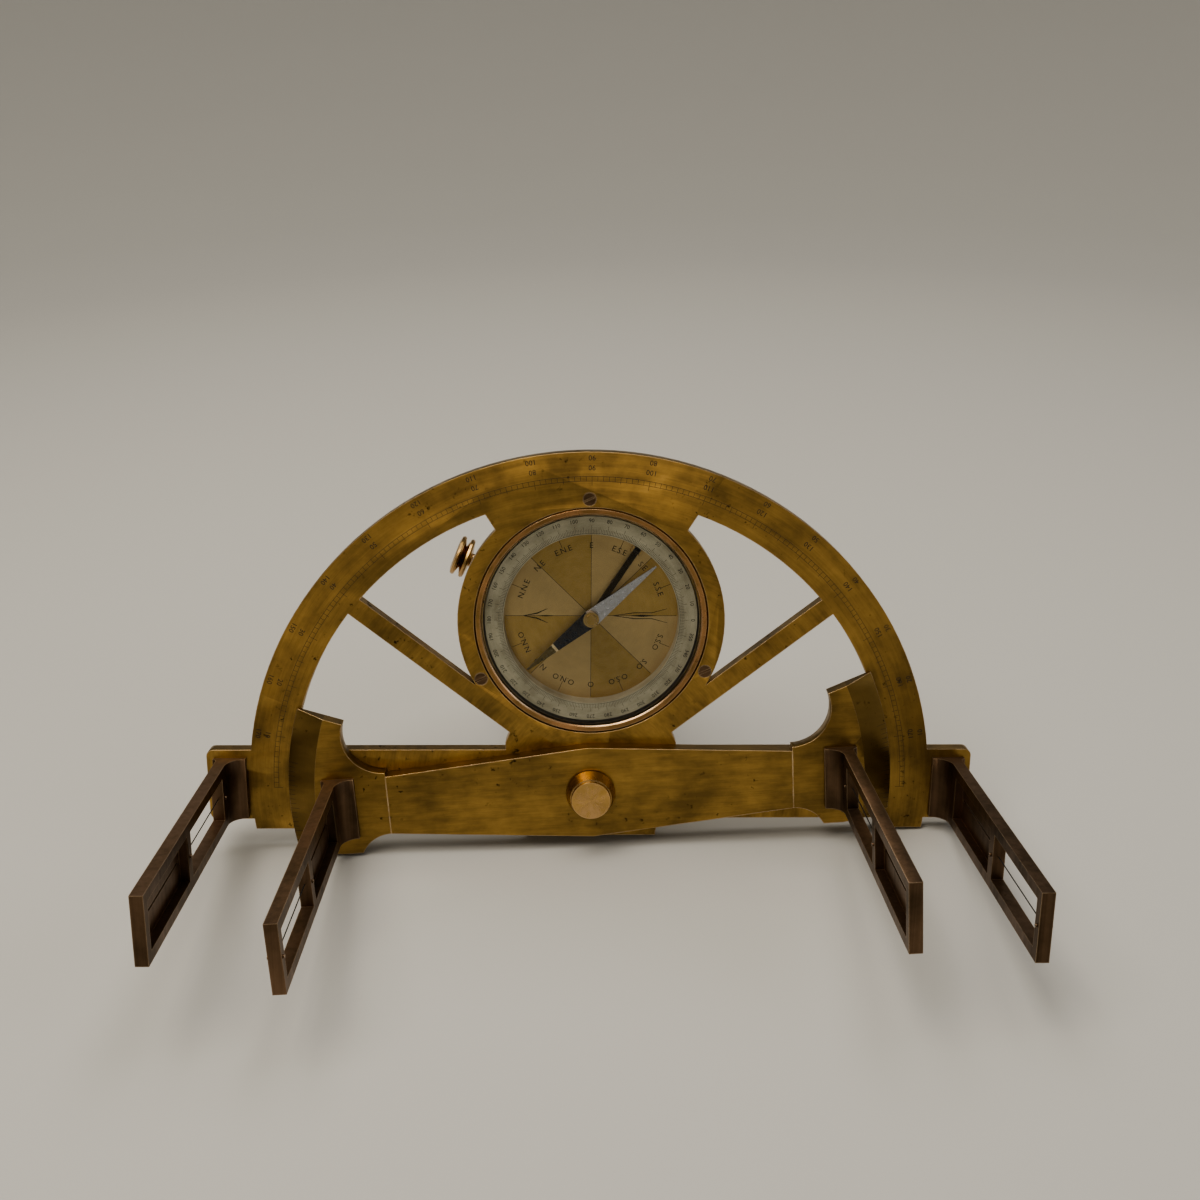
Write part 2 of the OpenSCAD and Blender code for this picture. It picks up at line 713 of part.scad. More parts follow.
module compass_dial() {
    color(bright_brass) at_compass() difference() {
        disc(box_in_r - 0.1, box_in_z, dial_z);
        rotate([0, 0, lifter_angle]) translate([push_pin_u, 0, 0])
            disc(push_pin_r + run_clear, box_in_z - over, over, fine);
        disc(post_r + seat_clear, box_in_z - over, over, fine);
    }
}

module degree_ring() {
    color(silvered) at_compass() ring(ring_out_r, degree_in_r, dial_z, -degree_depth);
}

module compass_glass() {
    color(glass_tint, 0.3) at_compass() disc(glass_r, glass_z0, glass_z1);
}

module compass_bezel() {
    lip_r = box_r - bezel_lip;
    color(bright_brass) at_compass() difference() {
        translate([0, 0, glass_z0]) rotate_extrude()
            polygon([[lip_r - 1, 0], [box_r, 0], [box_r, glass_t + bezel_lip_t - 0.3],
                     [box_r - 0.3, glass_t + bezel_lip_t], [lip_r + 0.3, glass_t + bezel_lip_t],
                     [lip_r, glass_t + bezel_lip_t - 0.3], [lip_r - 1, glass_t]]);
        disc(lip_r, glass_z0 - over, over);
        disc(glass_r + seat_clear, glass_z0 - over, glass_z1);
    }
}

module compass_screws() {
    color(dark_brass) at_compass() for (a = comp_screw_angles) rotate([0, 0, a])
        translate([comp_screw_circle_r, 0, 0]) difference() {
            union() {
                disc(comp_screw_r, flange_z, 0, fine);
                disc(comp_screw_head_r, -1, 0, fine);
            }
            rotate([0, 0, 25 - a]) translate([-comp_screw_head_r - over, -0.2, -0.5])
                cube([2 * (comp_screw_head_r + over), 0.4, over]);
        }
}

// ---------------------------------------------------------------- needle and lifter

module needle_post() {
    point_h = 1.2;
    color(pale_steel) at_compass() {
        disc(post_r, box_in_z, tip_z - point_h, fine);
        translate([0, 0, tip_z - point_h]) rotate_extrude($fn = fine)
            polygon([[0, 0], [post_r, 0], [0.08, point_h], [0, point_h]]);
    }
}

module on_needle() {
    at_compass() rotate([0, 0, needle_angle]) children();
}

module needle() {
    tip_w = 0.5;
    color(steel) on_needle() difference() {
        translate([0, 0, needle_z1 - needle_t]) linear_extrude(needle_t)
            polygon([[needle_half_l, tip_w / 2], [0, needle_w / 2], [-needle_half_l, tip_w / 2],
                     [-needle_half_l, -tip_w / 2], [0, -needle_w / 2], [needle_half_l, -tip_w / 2]]);
        disc(cap_r - 0.6, needle_z1 - needle_t - over, needle_z1 + over, fine);
    }
}

module needle_cap() {
    neck_r = cap_r - 0.6 - seat_clear;
    color(bright_brass) on_needle() difference() {
        union() {
            disc(neck_r, cap_z0, needle_z1, fine);
            disc(cap_r, needle_z1, cap_z1 - 0.5, fine);
            disc(cap_r - 0.7, needle_z1, cap_z1, fine);
        }
        disc(cap_bore_r, cap_z0 - over, jewel_z + 0.6, fine);
    }
}

module needle_jewel() {
    color(agate) on_needle() disc(cap_bore_r - seat_clear, jewel_z, jewel_z + 0.6, fine);
}

module on_lifter() {
    at_compass() rotate([0, 0, lifter_angle]) children();
}

module lifter_lever() {
    eye_in_r = post_r + 0.5;
    color(bright_brass) on_lifter() difference() {
        union() {
            translate([0, -lifter_w / 2, lifter_z0]) cube([lifter_hinge_u, lifter_w, lifter_t]);
            disc(cap_r - 0.2, lifter_z0, lifter_z1, fine);
            translate([lifter_hinge_u, lifter_w / 2, lifter_hinge_z]) rotate([90, 0, 0])
                cylinder(r = lifter_eye_r, h = lifter_w, $fn = fine);
        }
        disc(eye_in_r, lifter_z0 - over, lifter_z1 + over, fine);
        translate([lifter_hinge_u, lifter_w / 2 + over, lifter_hinge_z]) rotate([90, 0, 0])
            cylinder(r = lifter_pin_r + run_clear, h = lifter_w + 2 * over, $fn = fine);
    }
}

module lifter_bracket() {
    cheek_y = lifter_w / 2 + slide_gap;
    cheek_h = lifter_hinge_z + lifter_eye_r - dial_z;
    color(bright_brass) on_lifter() difference() {
        union() {
            for (y = [cheek_y, -cheek_y - lifter_cheek_t])
                translate([lifter_hinge_u - 0.9, y, dial_z]) cube([1.8, lifter_cheek_t, cheek_h]);
            translate([lifter_hinge_u - 0.9, -cheek_y - eps, dial_z])
                cube([1.8, 2 * (cheek_y + eps), 0.25]);
        }
        translate([lifter_hinge_u, 4, lifter_hinge_z]) rotate([90, 0, 0])
            cylinder(r = lifter_pin_r + run_clear / 2, h = 8, $fn = fine);
    }
}

module lifter_hinge_pin() {
    pin_l = lifter_w + 2 * (slide_gap + lifter_cheek_t);
    color(steel) on_lifter() translate([lifter_hinge_u, pin_l / 2, lifter_hinge_z]) rotate([90, 0, 0])
        cylinder(r = lifter_pin_r, h = pin_l, $fn = fine);
}

module lifter_push_pin() {
    color(dark_brass) on_lifter() translate([push_pin_u, 0, 0]) {
        disc(push_pin_r, box_back_z - push_gap - push_head_t, lifter_z0 - run_clear / 2, fine);
        disc(push_head_r, box_back_z - push_gap - push_head_t, box_back_z - push_gap, fine);
    }
}

// ---------------------------------------------------------------- knee

module knee_bracket() {
    color(brass) at_compass() difference() {
        union() {
            disc(bracket_r, bracket_z0, bracket_z1);
            disc(boss_r, boss_z0, bracket_z0 + over);
        }
        disc(journal_r + run_clear, boss_z0 - over, bracket_z1 + over);
        disc(stem_foot_r + 0.3, bracket_z1 - stem_pocket_t, bracket_z1 + over);
        rotate([0, 0, lifter_angle]) translate([push_pin_u, 0, 0])
            disc(push_head_r + 0.6, bracket_z0 - over, bracket_z1 + over, fine);
        for (a = bracket_screw_angles) rotate([0, 0, a]) translate([bracket_screw_circle_r, 0, 0])
            disc(bracket_screw_r + seat_clear, bracket_z0 - over, bracket_z1 + over, fine);
    }
}

module bracket_screws() {
    color(dark_brass) at_compass() for (a = bracket_screw_angles) rotate([0, 0, a])
        translate([bracket_screw_circle_r, 0, 0]) difference() {
            union() {
                disc(bracket_screw_r, bracket_z0 - eps, bracket_z1 + 1.6, fine);
                disc(bracket_screw_head_r, bracket_z0 - 1.2, bracket_z0, fine);
            }
            translate([-bracket_screw_head_r - over, -0.25, bracket_z0 - 1.2 - over])
                cube([2 * (bracket_screw_head_r + over), 0.5, over + 0.5]);
        }
}

module knee_ball() {
    color(bright_brass) stance() translate([0, comp_y, 0]) {
        translate([0, 0, -ball_back]) sphere(r = ball_r);
        disc(stem_r, -ball_back, boss_z0 - 1);
        disc(journal_r, boss_z0 - 1, bracket_z1 - slide_gap / 2);
        disc(stem_foot_r, bracket_z1 - stem_foot_t - slide_gap / 2, bracket_z1 - slide_gap / 2);
    }
}

// turned outside of both jaws and the tube
module socket_turned() {
    waist_z = jaw_low_z - 3;
    disc(tube_r, -socket_l, waist_z);
    disc(collar_r, -socket_l, -socket_l + collar_w);
    rotate_extrude() polygon([[0, waist_z - eps], [tube_r, waist_z - eps], [jaw_r - 1.2, jaw_low_z],
                              [jaw_r, jaw_low_z + 2], [jaw_r, 0], [0, 0]]);
    sphere(r = jaw_r);
}

// everything cut from both jaws: cavity, mouth, and the jaw screw's path
module socket_hollow() {
    mouth_r = jaw_r * 1.5 * sin(mouth_half_angle);
    mouth_z = jaw_r * 1.5 * cos(mouth_half_angle);
    sphere(r = cavity_r);
    rotate_extrude() polygon([[0, 0], [mouth_r, mouth_z], [0, mouth_z + 3 * jaw_r]]);
    rotate_extrude() polygon([[0, mouth_z], [mouth_r, mouth_z], [2 * jaw_r, mouth_z],
                              [2 * jaw_r, 3 * jaw_r], [0, 3 * jaw_r]]);
}

module socket_body() {
    color(brass) at_knee() difference() {
        socket_turned();
        socket_hollow();
        translate([-2 * jaw_r - jaw_gap / 2, -2 * jaw_r, jaw_low_z])
            cube([2 * jaw_r + jaw_gap, 4 * jaw_r, 4 * jaw_r]);
        disc(bore_r, -socket_l - over, bore_top_z);
        translate([jaw_r - 5, 0, -jaw_screw_down]) rotate([0, -90, 0])
            cylinder(r = jaw_screw_r + seat_clear, h = 2 * jaw_r, $fn = fine);
        for (s = [-1, 1]) translate([-jaw_gap, s * jaw_pin_y, jaw_pin_z]) rotate([0, 90, 0])
            cylinder(r = jaw_pin_r + seat_clear, h = 4, $fn = fine);
        translate([0, 0, -socket_l + spigot_screw_up]) rotate([-90, 0, 0])
            cylinder(r = spigot_screw_r + run_clear, h = 2 * tube_r, $fn = fine);
    }
}

module loose_jaw() {
    color(brass) at_knee() difference() {
        intersection() {
            socket_turned();
            translate([-2 * jaw_r - jaw_gap / 2, -2 * jaw_r, jaw_low_z + slide_gap])
                cube([2 * jaw_r, 4 * jaw_r, 4 * jaw_r]);
        }
        socket_hollow();
        translate([0, 0, -jaw_screw_down]) rotate([0, -90, 0])
            cylinder(r = jaw_screw_r + run_clear, h = 2 * jaw_r, $fn = fine);
        translate([-boss_x, 0, -jaw_screw_down]) rotate([0, -90, 0]) cylinder(r = 4.6, h = jaw_r);
        for (s = [-1, 1]) translate([-jaw_gap / 2 - 3, s * jaw_pin_y, jaw_pin_z]) rotate([0, 90, 0])
            cylinder(r = jaw_pin_r + seat_clear, h = 4, $fn = fine);
    }
}

module jaw_pins() {
    color(dark_brass) at_knee() for (s = [-1, 1]) translate([-jaw_gap / 2 - 2.8, s * jaw_pin_y, jaw_pin_z])
        rotate([0, 90, 0]) cylinder(r = jaw_pin_r, h = 2.8 + jaw_gap / 2 + 2.8, $fn = fine);
}

module at_jaw_screw() {
    at_knee() translate([0, 0, -jaw_screw_down]) rotate([0, -90, 0]) children();
}

module jaw_screw() {
    foot_r = 4.3;
    neck_r = 2.2;
    bead_r = 2.9;
    rim_t = jaw_head_t * 0.3;
    head_z = jaw_screw_neck_l;
    color(bright_brass) at_jaw_screw() {
        disc(jaw_screw_r, -jaw_r + 6.5, boss_x + jaw_washer_t + eps, fine);
        translate([0, 0, boss_x + jaw_washer_t]) rotate_extrude($fn = 64)
            polygon([[0, 0], [foot_r, 0], [foot_r, 1.4], [foot_r - 1, 2.4], [neck_r, head_z * 0.45],
                     [neck_r, head_z - 5.2], [bead_r, head_z - 4.2],
                     [bead_r, head_z - 3.2], [neck_r, head_z - 2.2],
                     [neck_r, head_z - 0.8], [jaw_head_r - 0.4, head_z], [jaw_head_r, head_z + rim_t / 2],
                     [jaw_head_r - 0.3, head_z + rim_t],
                     [jaw_head_r - jaw_head_groove, head_z + jaw_head_t / 2],
                     [jaw_head_r - 0.3, head_z + jaw_head_t - rim_t],
                     [jaw_head_r, head_z + jaw_head_t - rim_t / 2],
                     [jaw_head_r - 0.4, head_z + jaw_head_t], [jaw_head_r - 2, head_z + jaw_head_t + 0.4],
                     [0, head_z + jaw_head_t + 0.4]]);
    }
}

module jaw_screw_washer() {
    color(bright_brass) at_jaw_screw()
        ring(4.4, jaw_screw_r + run_clear, boss_x + eps, boss_x + jaw_washer_t - eps);
}

module spigot_screw() {
    head_z = tube_r + 3;
    head_t = 4.6;
    color(bright_brass) at_knee() translate([0, 0, -socket_l + spigot_screw_up]) rotate([-90, 0, 0]) {
        disc(spigot_screw_r, bore_r + 0.4, head_z + eps, fine);
        translate([0, 0, head_z]) rotate_extrude($fn = 48)
            polygon([[0, 0], [spigot_head_r - 1.6, 0], [spigot_head_r, 1.2], [spigot_head_r, head_t - 0.6],
                     [spigot_head_r - 0.6, head_t], [0, head_t]]);
    }
}

limb_plate();
fixed_sight_left();
fixed_sight_right();
fixed_sight_screws();
fixed_sight_pins();
fixed_sight_hairs();
fixed_hair_pegs();
alidade_bar();
alidade_sight_left();
alidade_sight_right();
alidade_sight_screws();
alidade_sight_pins();
alidade_sight_hairs();
alidade_hair_pegs();
pivot_arbor();
pivot_button();
pivot_washer();
pivot_nut();
compass_box();
compass_dial();
degree_ring();
compass_glass();
compass_bezel();
compass_screws();
needle_post();
needle();
needle_cap();
needle_jewel();
lifter_lever();
lifter_bracket();
lifter_hinge_pin();
lifter_push_pin();
knee_bracket();
bracket_screws();
knee_ball();
socket_body();
loose_jaw();
jaw_pins();
jaw_screw();
jaw_screw_washer();
spigot_screw();
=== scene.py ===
import json
import math

import bmesh
import bpy
from mathutils import Matrix, Vector


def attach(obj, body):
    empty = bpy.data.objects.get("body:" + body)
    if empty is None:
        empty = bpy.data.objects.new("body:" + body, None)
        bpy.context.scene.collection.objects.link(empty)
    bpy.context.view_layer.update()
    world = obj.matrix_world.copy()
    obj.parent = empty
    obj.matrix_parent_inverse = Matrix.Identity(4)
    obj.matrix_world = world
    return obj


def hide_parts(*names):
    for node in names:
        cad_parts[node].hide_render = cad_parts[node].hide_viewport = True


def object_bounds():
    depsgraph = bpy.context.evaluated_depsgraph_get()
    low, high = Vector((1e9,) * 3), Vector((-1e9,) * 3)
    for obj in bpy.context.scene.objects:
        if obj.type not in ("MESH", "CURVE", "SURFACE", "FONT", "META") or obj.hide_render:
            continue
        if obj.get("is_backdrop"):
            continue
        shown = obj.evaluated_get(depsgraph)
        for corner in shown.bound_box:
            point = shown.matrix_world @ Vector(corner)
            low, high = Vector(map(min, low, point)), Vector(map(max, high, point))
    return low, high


bl_info = {
    "name": "Graphometer looks",
    "version": (1, 0, 0),
    "blender": (4, 5, 0),
    "location": "View3D > Sidebar > Graphometer",
    "description": "Finishes, engraving and studio for a brass graphometer with a compass",
    "category": "Object",
}

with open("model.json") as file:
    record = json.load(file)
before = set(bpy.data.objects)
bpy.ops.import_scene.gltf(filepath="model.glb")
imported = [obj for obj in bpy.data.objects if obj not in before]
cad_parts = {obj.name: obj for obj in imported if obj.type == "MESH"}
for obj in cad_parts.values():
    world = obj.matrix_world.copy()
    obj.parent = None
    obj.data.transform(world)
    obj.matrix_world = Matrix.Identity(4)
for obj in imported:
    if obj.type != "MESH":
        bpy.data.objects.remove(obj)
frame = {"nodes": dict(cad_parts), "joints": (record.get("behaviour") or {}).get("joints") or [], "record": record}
NODES = frame["nodes"]
JOINTS = {joint["name"]: joint for joint in frame["joints"]}
MM = 0.001


# ------------------------------------------------------------------ frames of the instrument

def reach(node, direction):
    """Furthest distance of a CAD node along a direction, from the world's origin."""
    return max(v.co.dot(direction) for v in NODES[node].data.vertices)


def middle(node):
    """Centre of a CAD node's vertices."""
    vertices = NODES[node].data.vertices
    return sum((v.co for v in vertices), Vector()) / len(vertices)


def axes_frame(origin, across, normal):
    """Matrix with X along across, Z along normal and its origin where told."""
    x = (across - across.dot(normal) * normal).normalized()
    y = normal.cross(x)
    m = Matrix((x, y, normal)).transposed().to_4x4()
    m.translation = origin
    return m


def at_height(point, height, normal):
    """The point moved along the normal to a height measured along it."""
    return point + (height - point.dot(normal)) * normal


NORMAL = Vector(JOINTS["alidade_turn"]["axis"]).normalized()
PIVOT = Vector(JOINTS["alidade_turn"]["pos_m"])
COMPASS = Vector(JOINTS["needle_turn"]["pos_m"])
FACE = reach("limb_plate", NORMAL)
UP = (COMPASS - PIVOT) - (COMPASS - PIVOT).dot(NORMAL) * NORMAL
PLATE = axes_frame(at_height(PIVOT, FACE, NORMAL), UP.cross(NORMAL), NORMAL)
BAR_ACROSS = middle("alidade_sight_right") - middle("alidade_sight_left")
BAR = axes_frame(at_height(PIVOT, reach("alidade_bar", NORMAL), NORMAL), BAR_ACROSS, NORMAL)
ACROSS = PLATE.col[0].to_3d()
DIAL = axes_frame(at_height(COMPASS, reach("compass_dial", NORMAL), NORMAL), ACROSS, NORMAL)
RING = axes_frame(at_height(COMPASS, reach("degree_ring", NORMAL), NORMAL), ACROSS, NORMAL)
# the bright end of the needle is the one furthest to the right
NEEDLE_TIP = max((v.co for v in NODES["needle"].data.vertices), key=lambda co: co.x) - COMPASS
NEEDLE = axes_frame(COMPASS, NEEDLE_TIP, NORMAL)
SEAT = axes_frame(at_height(COMPASS, FACE, NORMAL), ACROSS, NORMAL)


def inner_radius(node, about):
    """Inner radius of a CAD node about a frame's Z axis."""
    inverse = about.inverted()
    return min((inverse @ v.co).to_2d().length for v in NODES[node].data.vertices)


def bevelled_edge():
    """Radius and height of a vernier's thin edge, and of where its slope starts, in the alidade's frame."""
    inverse = BAR.inverted()
    seen = [inverse @ v.co for v in NODES["alidade_bar"].data.vertices]
    rim = max(p.to_2d().length for p in seen)
    edge_z = max(p.z for p in seen if p.to_2d().length > rim - 0.05 * MM)
    on_top = [p.to_2d().length for p in seen if p.z > -0.01 * MM]
    return (rim, edge_z), (max(on_top), 0.0)


LIMB_R = max((PLATE.inverted() @ v.co).y for v in NODES["limb_plate"].data.vertices)


# ------------------------------------------------------------------ settings

def linear(code):
    """sRGB hex colour to linear RGBA."""
    parts = [int(code[i:i + 2], 16) / 255 for i in (1, 3, 5)]
    return tuple(p / 12.92 if p <= 0.04045 else ((p + 0.055) / 1.055) ** 2.4 for p in parts) + (1.0,)


def length(name, about, millimetres):
    """A length setting with its default in millimetres."""
    return bpy.props.FloatProperty(name=name, description=about, default=millimetres * MM, min=0.0,
                                   unit="LENGTH", subtype="DISTANCE", precision=5)


def colour(name, about, code):
    """A colour setting with its default as an sRGB hex code."""
    return bpy.props.FloatVectorProperty(name=name, description=about, default=linear(code), size=4,
                                         min=0.0, max=1.0, subtype="COLOR")


class GraphometerSizes(bpy.types.PropertyGroup):
    """Widths, lengths and heights of what is engraved, and of the stage."""
    edge_soft: length("Softened edge", "Width of the worn round on every filed edge", 0.22)
    line_w: length("Line width", "Width of an engraved division", 0.1)
    cut_w: length("Dial line width", "Width of the lines on the compass dial", 0.13)
    lift: length("Wax height", "How far the filling of a line stands out of the metal", 0.012)
    limb_tick: length("Limb division", "Length of a one degree line on the limb", 1.3)
    limb_tick_five: length("Limb five", "Length of a five degree line on the limb", 1.9)
    limb_tick_ten: length("Limb ten", "Length of a ten degree line on the limb", 2.6)
    limb_rule: length("Limb rule", "Distance from the limb's edge to its divisions", 6.9)
    limb_figure: length("Limb figures", "Height of the figures on the limb", 1.5)
    vernier_tick: length("Vernier division", "Length of a vernier line", 2.0)
    ring_tick: length("Ring division", "Length of a one degree line on the silvered ring", 1.3)
    ring_tick_five: length("Ring five", "Length of a five degree line on the silvered ring", 1.9)
    ring_tick_ten: length("Ring ten", "Length of a ten degree line on the silvered ring", 2.4)
    ring_figure: length("Ring figures", "Height of the figures on the silvered ring", 1.15)
    dial_letter: length("Dial letters", "Height of the letters on the dial", 1.7)
    backdrop: length("Backdrop", "Distance of the backdrop from the instrument", 1500.0)


class GraphometerColours(bpy.types.PropertyGroup):
    """Colours of the finishes and of the floor."""
    brass: colour("Brass", "Old yellow brass under thin lacquer", "#B39253")
    tarnish: colour("Tarnish", "Brass where the lacquer has browned", "#78623A")
    stain: colour("Stain", "Dark spots where the lacquer has gone", "#40331F")
    # this pale colour is bare brass on rubbed edges, and also paints highlights on lit edges and the paler painted
    # reflection in the dial's sectors
    rubbed: colour("Rubbed edge", "Bare brass on rubbed edges", "#F0D6B4")
    sight: colour("Sight brass", "Bronze brown brass of the sights", "#7C6450")
    sight_dark: colour("Sight tarnish", "Darkest toning of the sights", "#483A2C")
    turned: colour("Turned brass", "Bright coppery brass of the turned heads", "#C9A57A")
    copper: colour("Bezel", "Coppery toning of the bezel", "#B98D64")
    gilt: colour("Gilt dial", "Gilt and frosted face of the dial", "#CDA868")
    silvered: colour("Silvering", "Dull silvering of the degree ring", "#EDDFC8")
    steel: colour("Bright steel", "Bare end of the needle", "#C4BFCB")
    blued: colour("Blued steel", "Blued end of the needle", "#2B2D3A")
    wax: colour("Wax", "Dark filling of the engraved lines", "#20160B")
    glass: colour("Glass", "Compass glass", "#F4F7F6")
    agate: colour("Agate", "Stone bearing of the needle", "#7A3B22")
    hair: colour("Hair", "Sighting hairs", "#1B1613")
    floor: colour("Floor", "Pale studio floor", "#AEADA7")


# ------------------------------------------------------------------ node helpers

def add(tree, kind, links=(), **settings):
    """Adds a node. settings holds its properties and its inputs by name, and links pairs an input
    with a socket."""
    node = tree.nodes.new(kind)
    for key, value in settings.items():
        if hasattr(node, key):
            setattr(node, key, value)
        else:
            node.inputs[key.replace("_", " ")].default_value = value
    for key, socket in links:
        tree.links.new(socket, node.inputs[key])
    return node


def math_node(tree, operation, a, b=None):
    """A Math node from sockets or numbers, giving its output socket."""
    node = tree.nodes.new("ShaderNodeMath")
    node.operation = operation
    for slot, value in enumerate((a, b)):
        if value is None:
            continue
        if isinstance(value, (int, float)):
            node.inputs[slot].default_value = value
        else:
            tree.links.new(value, node.inputs[slot])
    return node.outputs[0]


def vector_node(tree, operation, a, b=None, output=0):
    """A Vector Math node from sockets or vectors, giving one output socket."""
    node = tree.nodes.new("ShaderNodeVectorMath")
    node.operation = operation
    for slot, value in enumerate((a, b)):
        if value is None:
            continue
        if isinstance(value, (tuple, Vector)):
            node.inputs[slot].default_value = value
        else:
            tree.links.new(value, node.inputs[slot])
    return node.outputs[output]


def mixed(tree, factor, a, b):
    """Colour mix of sockets or colours by a factor socket or number."""
    node = tree.nodes.new("ShaderNodeMix")
    node.data_type = "RGBA"
    for key, value in ((0, factor), (6, a), (7, b)):
        if isinstance(value, bpy.types.NodeSocket):
            tree.links.new(value, node.inputs[key])
        else:
            node.inputs[key].default_value = value
    return node.outputs[2]


def blend_numbers(tree, factor, a, b):
    """Number mix of two sockets by a factor socket."""
    return math_node(tree, "ADD", a, math_node(tree, "MULTIPLY", factor, math_node(tree, "SUBTRACT", b, a)))


def stretched(tree, value, low, high, to_low=0.0, to_high=1.0):
    """Map Range of a socket from low..high to to_low..to_high, clamped."""
    node = add(tree, "ShaderNodeMapRange", [("Value", value)])
    for slot, number in zip((1, 2, 3, 4), (low, high, to_low, to_high)):
        node.inputs[slot].default_value = number
    return node.outputs[0]


def new_material(name):
    """A material with its node tree and its shader."""
    material = bpy.data.materials.new(name)
    material.use_nodes = True
    tree = material.node_tree
    return material, tree, tree.nodes["Principled BSDF"]


def local_point(tree, matrix):
    """Position in one of the instrument's frames, in metres."""
    place = add(tree, "ShaderNodeTexCoord").outputs["Object"]
    mapping = add(tree, "ShaderNodeMapping", [("Vector", place)], vector_type="TEXTURE")
    mapping.inputs["Location"].default_value = matrix.translation
    mapping.inputs["Rotation"].default_value = matrix.to_euler()
    return mapping.outputs[0]


def noise(tree, place, size, detail=3.0, rough=0.55):
    """Noise whose features are about the given size, in metres, on a position socket."""
    return add(tree, "ShaderNodeTexNoise", [("Vector", place)], Scale=1.0 / size, Detail=detail,
               Roughness=rough).outputs[0]


def worn_edge(tree, width):
    """1 on convex and concave edges within the width, 0 on open faces."""
    bevel = add(tree, "ShaderNodeBevel", samples=6, Radius=width).outputs[0]
    face = add(tree, "ShaderNodeNewGeometry").outputs["Normal"]
    return stretched(tree, vector_node(tree, "DOT_PRODUCT", bevel, face, 1), 0.995, 0.86)


GRAIN_STRETCH = 0.03        # how much slower the finest grain changes along the grain than across it
STREAK_STRETCH = 0.16       # the same for the broader streaks
ARC_LENGTH = 0.05           # metres of grain to a radian, for grain that runs in circles
STREAK_SIZE, SPOT_SIZE, WIDE_SIZE = 2.2 * MM, 2.6 * MM, 26.0 * MM
# this width also sets how far the painted edge highlight reaches
RUB_AND_HIGHLIGHT_WIDTH = 0.45 * MM       # how far a rubbed edge reaches on to the faces
GRAIN_DEPTH = 0.03 * MM


